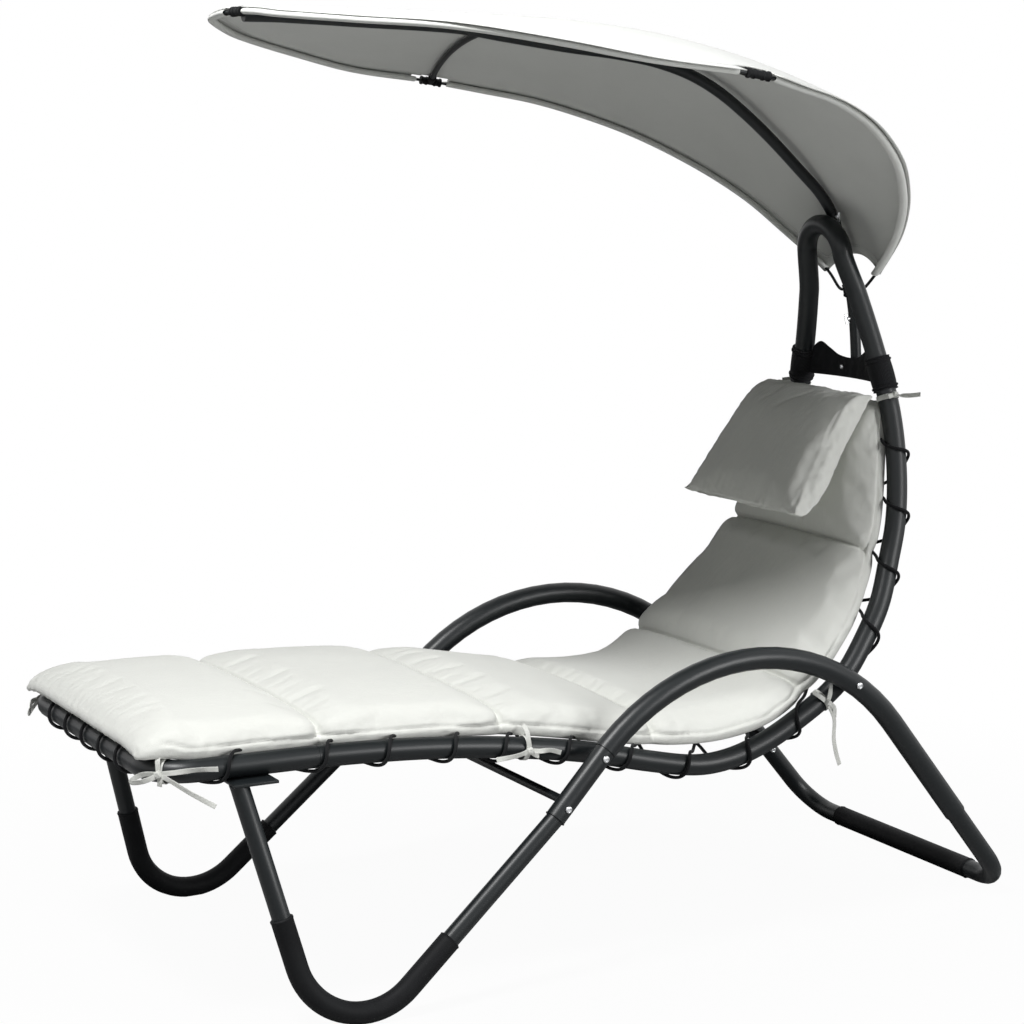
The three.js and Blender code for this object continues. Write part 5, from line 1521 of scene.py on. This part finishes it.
def cushion_outline(half, side, crown):
    """The cross-section: flat below, a side band under the overhang of the top, a low crown."""
    corner = min(0.017, side * 0.45)
    top = []
    for across in np.linspace(-1, 1, 61):
        inset = half * (1 - abs(across))
        height = side + (crown - side) * (1 - abs(across) ** 2.4)
        if inset < corner:
            height -= corner - math.sqrt(corner**2 - (corner - inset) ** 2)
        top.append((half * across, height))
    seam = side * SIDE_SEAM
    fold = min(0.0035, side * 0.1)
    right = [
        (half + fold * 0.4, seam * 1.5), (half - fold, seam), (half - fold * 0.3, seam * 0.6),
        (half - fold * 0.8, seam * 0.2), (half - fold * 2.5, 0),
    ]
    left = [(-y, z) for y, z in right[::-1]]
    below = [half * share for share in (0.8, 0.6, 0.3)]
    return np.array([(0, 0), *[(-y, 0) for y in below[::-1]], *left, *top, *right, *[(y, 0) for y in below]])


def seam_distance(share):
    return min(abs(share - seam) for seam in CUSHION_SEAMS) * bed.length


def cushion_half(share):
    """Half the width of the cushion, which rests against the hoop legs at the head."""
    half = np.interp(share, *zip(*CUSHION_HALF)) * CUSHION_WIDTH / 2
    return half + np.interp(share, (0, 0.1, 0.5, 0.6, 0.75, 1), (0.020, 0.014, 0.013, 0.008, 0.011, 0.013))


def drawn_together(row, outward):
    """The ring of an end moved out and flattened to one line, which closes the end."""
    ring = np.array(row[:-1])
    opposite = (CUSHION_RING // 2 - np.arange(CUSHION_RING)) % CUSHION_RING
    line = (ring + ring[opposite]) / 2 + outward
    return [*line, line[0]]


def cushion_rows(settings):
    near_ends = np.array(END_STEPS) / bed.length
    even = np.linspace(near_ends[-1], 1 - near_ends[-1], CUSHION_ROWS)[1:-1]
    even = [share for share in even if seam_distance(share) > SEAM_STEPS[-1] + 0.003]
    steps = np.array(SEAM_STEPS) / bed.length
    sewn = [seam + way * step for seam in CUSHION_SEAMS for way in (-1, 1) for step in steps]
    rows = []
    for share in sorted({*near_ends, *(1 - near_ends), *even, *sewn}):
        end = min(share, 1 - share) * bed.length
        bulge = math.sqrt(1 - (1 - min(1.0, (end + 0.003) / END_REACH)) ** 2)
        corner = 0.016 * (1 - math.sqrt(1 - (1 - min(1.0, end / 0.022)) ** 2))
        dip = math.exp(-2 * (seam_distance(share) / SEAM_REACH) ** 2)
        side = settings.cushion_side * (1 - 0.12 * dip) * (0.25 + 0.75 * bulge)
        crown = (settings.cushion_crown - SEAM_DIP * dip) * bulge
        half = cushion_half(share) - 0.008 * dip - corner
        point, normal = bed.at(share), bed_normal(share)
        if share < 0.5:
            point = point - bed.along(share) * FOOT_OVERHANG * math.exp(-end / 0.04)
            point = point - normal * FOOT_DROP * math.exp(-end / 0.06)
        outline = cushion_outline(half, side, max(crown, side))
        ring = resampled([(y, z, 0) for y, z in outline], CUSHION_RING)
        slump = EDGE_SLUMP * (1 + 0.8 * math.exp(-end / 0.05))
        rows.append([
            point + np.array([0, y, 0]) + normal * (CUSHION_BASE + z - slump * abs(y / half) ** 9)
            for y, z, _ in ring
        ])
    first, last = -bed.along(0) * END_BULGE, bed.along(1) * END_BULGE
    return [drawn_together(rows[0], first), *rows, drawn_together(rows[-1], last)]


def close_ends(obj, drawn=False):
    """Closes the two ends of a tube of rings, with a face each unless they are drawn together."""
    activate(obj)
    bpy.ops.object.mode_set(mode="EDIT")
    bpy.ops.mesh.select_all(action="SELECT")
    merge_points()
    if not drawn:
        bpy.ops.mesh.select_all(action="DESELECT")
        bpy.ops.mesh.select_mode(type="EDGE")
        bpy.ops.mesh.select_non_manifold(extend=False)
        bpy.ops.mesh.edge_face_add()
        bpy.ops.mesh.select_all(action="SELECT")
    face_outward()
    bpy.ops.object.mode_set(mode="OBJECT")
    if sum(face.area * face.center.dot(face.normal) for face in obj.data.polygons) < 0:
        obj.data.flip_normals()


BASE_HELD = 0.0032
SEAM_HELD = 0.0055
SIDE_HELD = (0.012, 0.003)  # inward from the side, and up and down from its seam
END_HELD = 0.004
FILL_CAP = 0.008
FILL_FADE = 0.05


def fill_cushion(obj, seam_height):
    """Fills the cushion, its base, seams and ends held."""
    points = points_of(obj)
    share, height = bed_places(points)
    sewn = np.array([seam_distance(s) for s in share]) < SEAM_HELD
    side_seam = np.abs(points[:, 1]) > cushion_half(share) - SIDE_HELD[0]
    side_seam &= np.abs(height - seam_height) < SIDE_HELD[1]
    end = np.minimum(share, 1 - share) * bed.length
    cap = FILL_CAP * np.clip(end / FILL_FADE, 0, 1)
    held = (height < BASE_HELD) | sewn | side_seam | (end < END_HELD)
    inflate(obj, held, pressure=2.4, cap=cap[:, None])


def cushion_moves(points, seam_height):
    """How far each point moves along its normal: seams, gathers, pinches and the fold of the side."""
    share, height = bed_places(points)
    distance = np.array([seam_distance(s) for s in share])
    from_edge = np.maximum(cushion_half(share) - np.abs(points[:, 1]), 0)
    end = np.maximum(np.minimum(share, 1 - share) * bed.length, 0)
    lifted = np.clip((height - 0.010) / 0.02, 0, 1)
    along_seam = creases(points, (0.3, 1.7, 0.5), scale=74, seed=11)
    gathers = creases(points, (2.2, 0.5, 1.6), scale=64, seed=3)
    end_gathers = creases(points, (0.6, 2.4, 1), scale=52, seed=23)
    move = -0.0070 * near(distance, 0.0032) * lifted
    move += 0.0018 * along_seam * fade(distance, 0.020) * lifted
    move += 0.0016 * gathers * fade(from_edge, 0.016) * np.clip(height / 0.01, 0, 1)
    move += 0.0013 * end_gathers * fade(end, 0.014)
    move += 0.0012 * creases(points, (1, 1, 1), scale=6, seed=5) * lifted
    move -= 0.0150 * near(distance, 0.009) * fade(from_edge, 0.018) * lifted
    wave = seam_height + 0.004 * creases(points, (1, 1, 1), scale=14, seed=29)
    return move - 0.0046 * near(height - wave, 0.0030) * (from_edge < 0.014) * (end > 0.02)


class LOUNGER_OT_cushion(bpy.types.Operator):
    """Makes the long cushion, filled and sewn across"""

    bl_idname = "lounger.cushion"
    bl_label = "Cushion"

    def execute(self, context):
        settings = context.scene.lounger
        obj = sheet("cushion_made", cushion_rows(settings), close_rows=True)
        close_ends(obj, drawn=True)
        seam_height = CUSHION_BASE + settings.cushion_side * SIDE_SEAM
        fill_cushion(obj, seam_height)
        apply_modifier(obj, "SUBSURF", levels=1, render_levels=1)
        push(obj, cushion_moves(points_of(obj), seam_height))
        dress(shade(obj), "cloth", "cushion")
        return {"FINISHED"}


PILLOW_ROWS = 54
PILLOW_RING = 116
PILLOW_TOP_WIDTH = 0.330
PILLOW_BOTTOM_WIDTH = 0.385
PILLOW_SWELL = 0.018


def pillow_half(down):
    return (PILLOW_TOP_WIDTH + (PILLOW_BOTTOM_WIDTH - PILLOW_TOP_WIDTH) * down) / 2


def pillow_rows(edge):
    """Rings down the pillow: thin at the top and at the pointed bottom, thick between."""
    top, bottom = place(PILLOW_TOP), place(PILLOW_BOTTOM)
    along = bottom - top
    front = unit([along[2], 0, -along[0]])
    rows = []
    for down in (1 - np.cos(np.linspace(0, math.pi, PILLOW_ROWS))) / 2:
        half = pillow_half(down)
        half += 0.010 * math.exp(-(1 - down) / 0.05) - 0.0035 * math.sin(math.pi * down)
        full = math.sqrt(max(0.0, 1 - abs(2 * down - 1) ** 3.2))
        thick = edge * (0.10 + 0.90 * full)
        swell = PILLOW_SWELL * full
        back = (edge - thick) * float(np.interp(down, (0, 0.35, 0.65, 1), (0, 0, 1, 1)))
        face = [(half * across, back + thick + swell * (1 - across**4)) for across in np.linspace(-1, 1, 41)]
        side = [(half + y, back + thick * share) for y, share in ((0.002, 0.75), (0.003, 0.4), (0, 0.1))]
        rear = [(half * across, back) for across in np.linspace(0.96, -0.96, 21)]
        outline = [*face, *side, *rear, *[(-y, z) for y, z in side[::-1]]]
        ring = resampled([(y, z, 0) for y, z in outline], PILLOW_RING)
        rows.append([top + along * down + np.array([0, y, 0]) + front * z for y, z, _ in ring])
    return rows, top, along, front


def pillow_moves(points, down, out, edge):
    """How far each point moves along its normal: gathers at the ends and the sides, and a seam."""
    from_edge = np.maximum(pillow_half(down) - np.abs(points[:, 1]), 0)
    move = 0.0034 * creases(points, (0.8, 2.6, 0.8), scale=34, seed=7) * fade(down, 0.13)
    move += 0.0030 * creases(points, (0.7, 2.2, 0.7), scale=38, seed=13) * fade(1 - down, 0.10)
    move += 0.0026 * creases(points, (1.6, 1, 1.6), scale=46, seed=9) * fade(from_edge, 0.016)
    move += 0.0022 * creases(points, (1, 1, 1), scale=8, seed=17)
    inside = np.minimum(down, 1 - down) > 0.06
    return move - 0.0024 * near(out - edge * 0.99, 0.0026) * (from_edge < 0.008) * inside


class LOUNGER_OT_head_pillow(bpy.types.Operator):
    """Makes the head pillow that hangs from its straps"""

    bl_idname = "lounger.head_pillow"
    bl_label = "Head pillow"

    def execute(self, context):
        edge = context.scene.lounger.pillow_edge
        rows, top, along, front = pillow_rows(edge)
        obj = sheet("head_pillow_made", rows, close_rows=True)
        close_ends(obj)
        down = (points_of(obj) - top) @ along / (along @ along)
        inflate(obj, (down < 0.01) | (down > 0.99), pressure=2.0, cap=0.006)
        apply_modifier(obj, "SUBSURF", levels=1, render_levels=1)
        points = points_of(obj)
        local = points - top
        push(obj, pillow_moves(points, local @ along / (along @ along), local @ front, edge))
        dress(shade(obj), "cloth", "head_pillow", "pillow")
        return {"FINISHED"}


# Ties
TAPE_WIDTH = 0.011
TAPE_THICKNESS = 0.0012
TIE_GAP = 0.0016
KNOT_OFF_TUBE = 0.004
KNOT_RADIUS = 0.0052
KNOT_RISE = 0.002

# Strands from the knot, in metres along the tube, outward and up
FOOT_STRANDS = (
    ((0, 0, 0), (0.030, 0.004, 0.006), (0.070, 0.000, 0.013), (0.106, -0.004, 0.016)),
    ((0, 0, 0), (0.024, 0.006, -0.008), (0.062, 0.008, -0.026), (0.104, 0.004, -0.046)),
    (
        (0, 0, 0), (-0.022, 0.006, 0.000), (-0.044, 0.002, -0.010),
        (-0.050, 0.000, -0.017), (-0.030, 0.005, -0.014), (0, 0.003, -0.002),
    ),
    ((0, 0, 0), (0.004, 0.004, -0.010), (0.003, 0.003, -0.020)),
    ((0, -0.001, 0), (-0.003, -0.004, 0.022), (-0.004, -0.020, 0.036)),
)
MIDDLE_STRANDS = (
    ((0, 0, 0), (0.018, 0.005, 0.001), (0.040, 0.004, 0.003), (0.064, 0.001, -0.001)),
    ((0, 0, 0), (-0.018, 0.005, -0.006), (-0.040, 0.006, -0.012), (-0.066, 0.003, -0.018)),
    ((0, 0, 0), (0.010, 0.005, -0.006), (0.018, 0.004, -0.008)),
    ((0, -0.001, 0), (-0.004, -0.001, 0.018), (-0.007, -0.008, 0.034), (-0.008, -0.024, 0.042)),
)
SEAT_STRANDS = (
    ((0, 0, 0), (0.010, 0.006, 0.014), (0.022, 0.007, 0.030)),
    (
        (0, 0, 0), (-0.008, 0.008, -0.030), (-0.030, 0.010, -0.062),
        (-0.040, 0.006, -0.096), (-0.044, 0.004, -0.118),
    ),
    ((0, 0, 0), (0.004, 0.006, -0.014), (-0.006, 0.006, -0.030)),
    ((0, -0.001, 0), (-0.006, -0.001, 0.018), (-0.010, -0.010, 0.032)),
)
STRAP_STRANDS = (
    ((0, 0, 0), (-0.004, 0.010, 0.004), (-0.010, 0.028, 0.014), (-0.014, 0.048, 0.026)),
    ((0, 0, 0), (-0.002, 0.006, -0.012), (-0.004, 0.010, -0.022)),
)


def ring_round(centre, first, second, radius, count):
    """The points of a closed ring and the ways out from its centre."""
    angles = [2 * math.pi * k / count for k in range(count + 1)]
    spokes = [first * math.cos(angle) + second * math.sin(angle) for angle in angles]
    return [centre + spoke * radius for spoke in spokes], spokes


def tie(node, centre, along, out, strands, side):
    """A tape round a tube, tied on the outer side."""
    up = unit(np.cross(out, along))
    up = up if up[2] > 0 else -up
    ring, spokes = ring_round(centre, out, up, RAIL_RADIUS + TIE_GAP, 12)
    parts = [ribbon(ring, spokes, TAPE_WIDTH * 0.9, TAPE_THICKNESS)]
    knot = centre + out * (RAIL_RADIUS + KNOT_OFF_TUBE)
    for number, strand in enumerate(strands):
        line = [knot + along * a + out * o + up * u for a, o, u in strand]
        faces = [unit(out + up * (0.5 * math.sin(1.7 * number + 2.1 * step))) for step in range(len(line))]
        parts.append(ribbon(line, faces, TAPE_WIDTH * 0.8, TAPE_THICKNESS))
    for turn in (0.5, 1.9):
        axis = unit(along * math.cos(turn) + up * math.sin(turn))
        lump, spokes = ring_round(knot + out * KNOT_RISE, unit(np.cross(axis, out)), out, KNOT_RADIUS, 8)
        parts.append(ribbon(lump, spokes, TAPE_WIDTH * 0.8, TAPE_THICKNESS * 1.6))
    obj = join(parts)
    if side > 0:
        obj.data.transform(Matrix.Scale(-1, 4, (0, 1, 0)))
        obj.data.flip_normals()
    return dress(shade(obj, 45), "tape", node)


class LOUNGER_OT_ties(bpy.types.Operator):
    """Makes the cream tapes that tie the cushion and the pillow to the frame"""

    bl_idname = "lounger.ties"
    bl_label = "Ties"

    def execute(self, context):
        outward = unit([-1, -1, 0])
        corner = rail.at(0) - outward * FOOT_CORNER_BEND * (math.sqrt(2) - 1)
        strap = rail.share(2, STRAP_SHARE * HOOP_HEIGHT, 0.5, 1)
        out = np.array([0, -1.0, 0])
        kinds = ("middle_tie", "seat_tie", "pillow_strap")
        tables = (MIDDLE_STRANDS, SEAT_STRANDS, STRAP_STRANDS)
        for name, side in SIDES:
            tie(f"foot_tie_{name}", corner, unit([1, -1, 0]), outward, FOOT_STRANDS, side)
            for kind, share, strands in zip(kinds, (*TIE_SHARES, strap), tables):
                along = rail.along(share)
                facing = unit(out - along * (out @ along))
                tie(f"{kind}_{name}", rail.at(share), along, facing, strands, side)
        return {"FINISHED"}


# Studio
LIGHTS = (  # name, width and place
    ("key", 0.75, (-2.05, -1.15, 4.1)),
    ("side", 1.6, (2.4, -4.0, 1.9)),
    ("fill", 2.6, (-3.6, -2.6, 2.2)),
)
LIGHT_AIM = (0.05, 0, 0.7)
CAMERA_PLACE = (-2.3070, -4.2541, 1.5451)
SENSOR_WIDTH = 36
FLOOR_RADIUS = 14
FLOOR_DROP = 0.0006  # how far the floor lies below the feet
FLOOR_FADE = {"From Min": 0.6, "From Max": 2.0, "To Min": 0.96}
WHITE = (1, 1, 1, 1)


def area_light(name, power, size, spot):
    deselect()
    bpy.ops.object.light_add(type="AREA", location=spot)
    lamp = bpy.context.object
    lamp.name = name
    lamp.data.energy = power
    lamp.data.size = size
    lamp.rotation_euler = (Vector(LIGHT_AIM) - Vector(spot)).to_track_quat("-Z", "Y").to_euler()


def floor_material():
    """A pale floor that keeps the shadow near the object and fades to white far off."""
    material = bpy.data.materials.new("studio_floor")
    material.use_nodes = True
    tree = material.node_tree
    tree.nodes.remove(tree.nodes["Principled BSDF"])
    made = Nodes(tree)
    matt = made.node("ShaderNodeBsdfDiffuse", {}, {"Color": (0.5, 0.5, 0.5, 1)})
    glow = made.node("ShaderNodeEmission", {}, {"Color": WHITE})
    where = made.node("ShaderNodeTexCoord", output="Object")
    reach = made.node("ShaderNodeVectorMath", {"operation": "LENGTH"}, {0: where}, "Value")
    far = made.node("ShaderNodeMapRange", {}, {"Value": reach, **FLOOR_FADE})
    seen = made.node("ShaderNodeLightPath", output="Is Camera Ray")
    mix = made.node("ShaderNodeMixShader", {}, {0: far * seen, 1: matt, 2: glow})
    feed(tree, tree.nodes["Material Output"].inputs["Surface"], mix)
    return material


def white_world(ambient):
    """White where it is seen, and faint as a light."""
    world = bpy.data.worlds.new("studio")
    bpy.context.scene.world = world
    world.use_nodes = True
    made = Nodes(world.node_tree)
    rays = ("Is Camera Ray", "Is Glossy Ray", "Is Transmission Ray")
    camera, glossy, clear = (made.node("ShaderNodeLightPath", output=ray) for ray in rays)
    seen = camera.at_least(glossy).at_least(clear)
    back = made.tree.nodes["Background"]
    back.inputs["Color"].default_value = WHITE
    feed(made.tree, back.inputs["Strength"], seen * (1 - ambient) + ambient)


class LOUNGER_OT_studio(bpy.types.Operator):
    """Makes the floor, the lights and the camera"""

    bl_idname = "lounger.studio"
    bl_label = "Studio"

    def execute(self, context):
        studio = context.scene.studio
        deselect()
        bpy.ops.mesh.primitive_circle_add(
            vertices=96, radius=FLOOR_RADIUS, fill_type="NGON", location=(0, 0, -FLOOR_DROP)
        )
        floor = bpy.context.object
        floor.name = "studio_floor"
        bpy.ops.object.transform_apply(location=True)
        floor.data.materials.append(floor_material())
        for name, size, spot in LIGHTS:
            area_light(f"{name}_light", getattr(studio, f"{name}_power"), size, spot)
        white_world(studio.ambient)
        bpy.ops.object.camera_add(location=CAMERA_PLACE)
        camera = bpy.context.object
        camera.name = "photo_camera"
        camera.data.lens = studio.lens
        camera.data.sensor_width = SENSOR_WIDTH
        flat = math.cos(studio.elevation)
        level = (-math.sin(studio.azimuth) * flat, math.cos(studio.azimuth) * flat)
        ahead = Vector((*level, -math.sin(studio.elevation)))
        camera.rotation_euler = ahead.to_track_quat("-Z", "Y").to_euler()
        context.scene.camera = camera
        context.scene.view_settings.view_transform = "Standard"
        return {"FINISHED"}


STEPS = (
    LOUNGER_OT_studio,
    LOUNGER_OT_lacing,
    LOUNGER_OT_frame,
    LOUNGER_OT_sleeves,
    LOUNGER_OT_fasteners,
    LOUNGER_OT_canopy_frame,
    LOUNGER_OT_canopy_cloth,
    LOUNGER_OT_sling,
    LOUNGER_OT_head_band,
    LOUNGER_OT_cushion,
    LOUNGER_OT_head_pillow,
    LOUNGER_OT_ties,
)


class LOUNGER_PT_panel(bpy.types.Panel):
    """Lists the steps in the sidebar"""

    bl_idname = "LOUNGER_PT_panel"
    bl_label = "Sun lounger"
    bl_space_type = "VIEW_3D"
    bl_region_type = "UI"
    bl_category = "Lounger"

    def draw(self, context):
        for group in (context.scene.lounger, context.scene.studio):
            for name in group.__annotations__:
                self.layout.prop(group, name)
        for step in STEPS:
            self.layout.operator(step.bl_idname)


CLASSES = (Lounger, Studio, *STEPS, LOUNGER_PT_panel)


def register():
    for made in CLASSES:
        bpy.utils.register_class(made)
    bpy.types.Scene.lounger = PointerProperty(type=Lounger)
    bpy.types.Scene.studio = PointerProperty(type=Studio)


def unregister():
    del bpy.types.Scene.studio
    del bpy.types.Scene.lounger
    for made in reversed(CLASSES):
        bpy.utils.unregister_class(made)


def main():
    register()
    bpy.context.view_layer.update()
    make_finishes(bpy.context.scene.lounger)
    for step in STEPS:
        group, name = step.bl_idname.split(".")
        getattr(getattr(bpy.ops, group), name)()


if __name__ == "__main__":
    main()
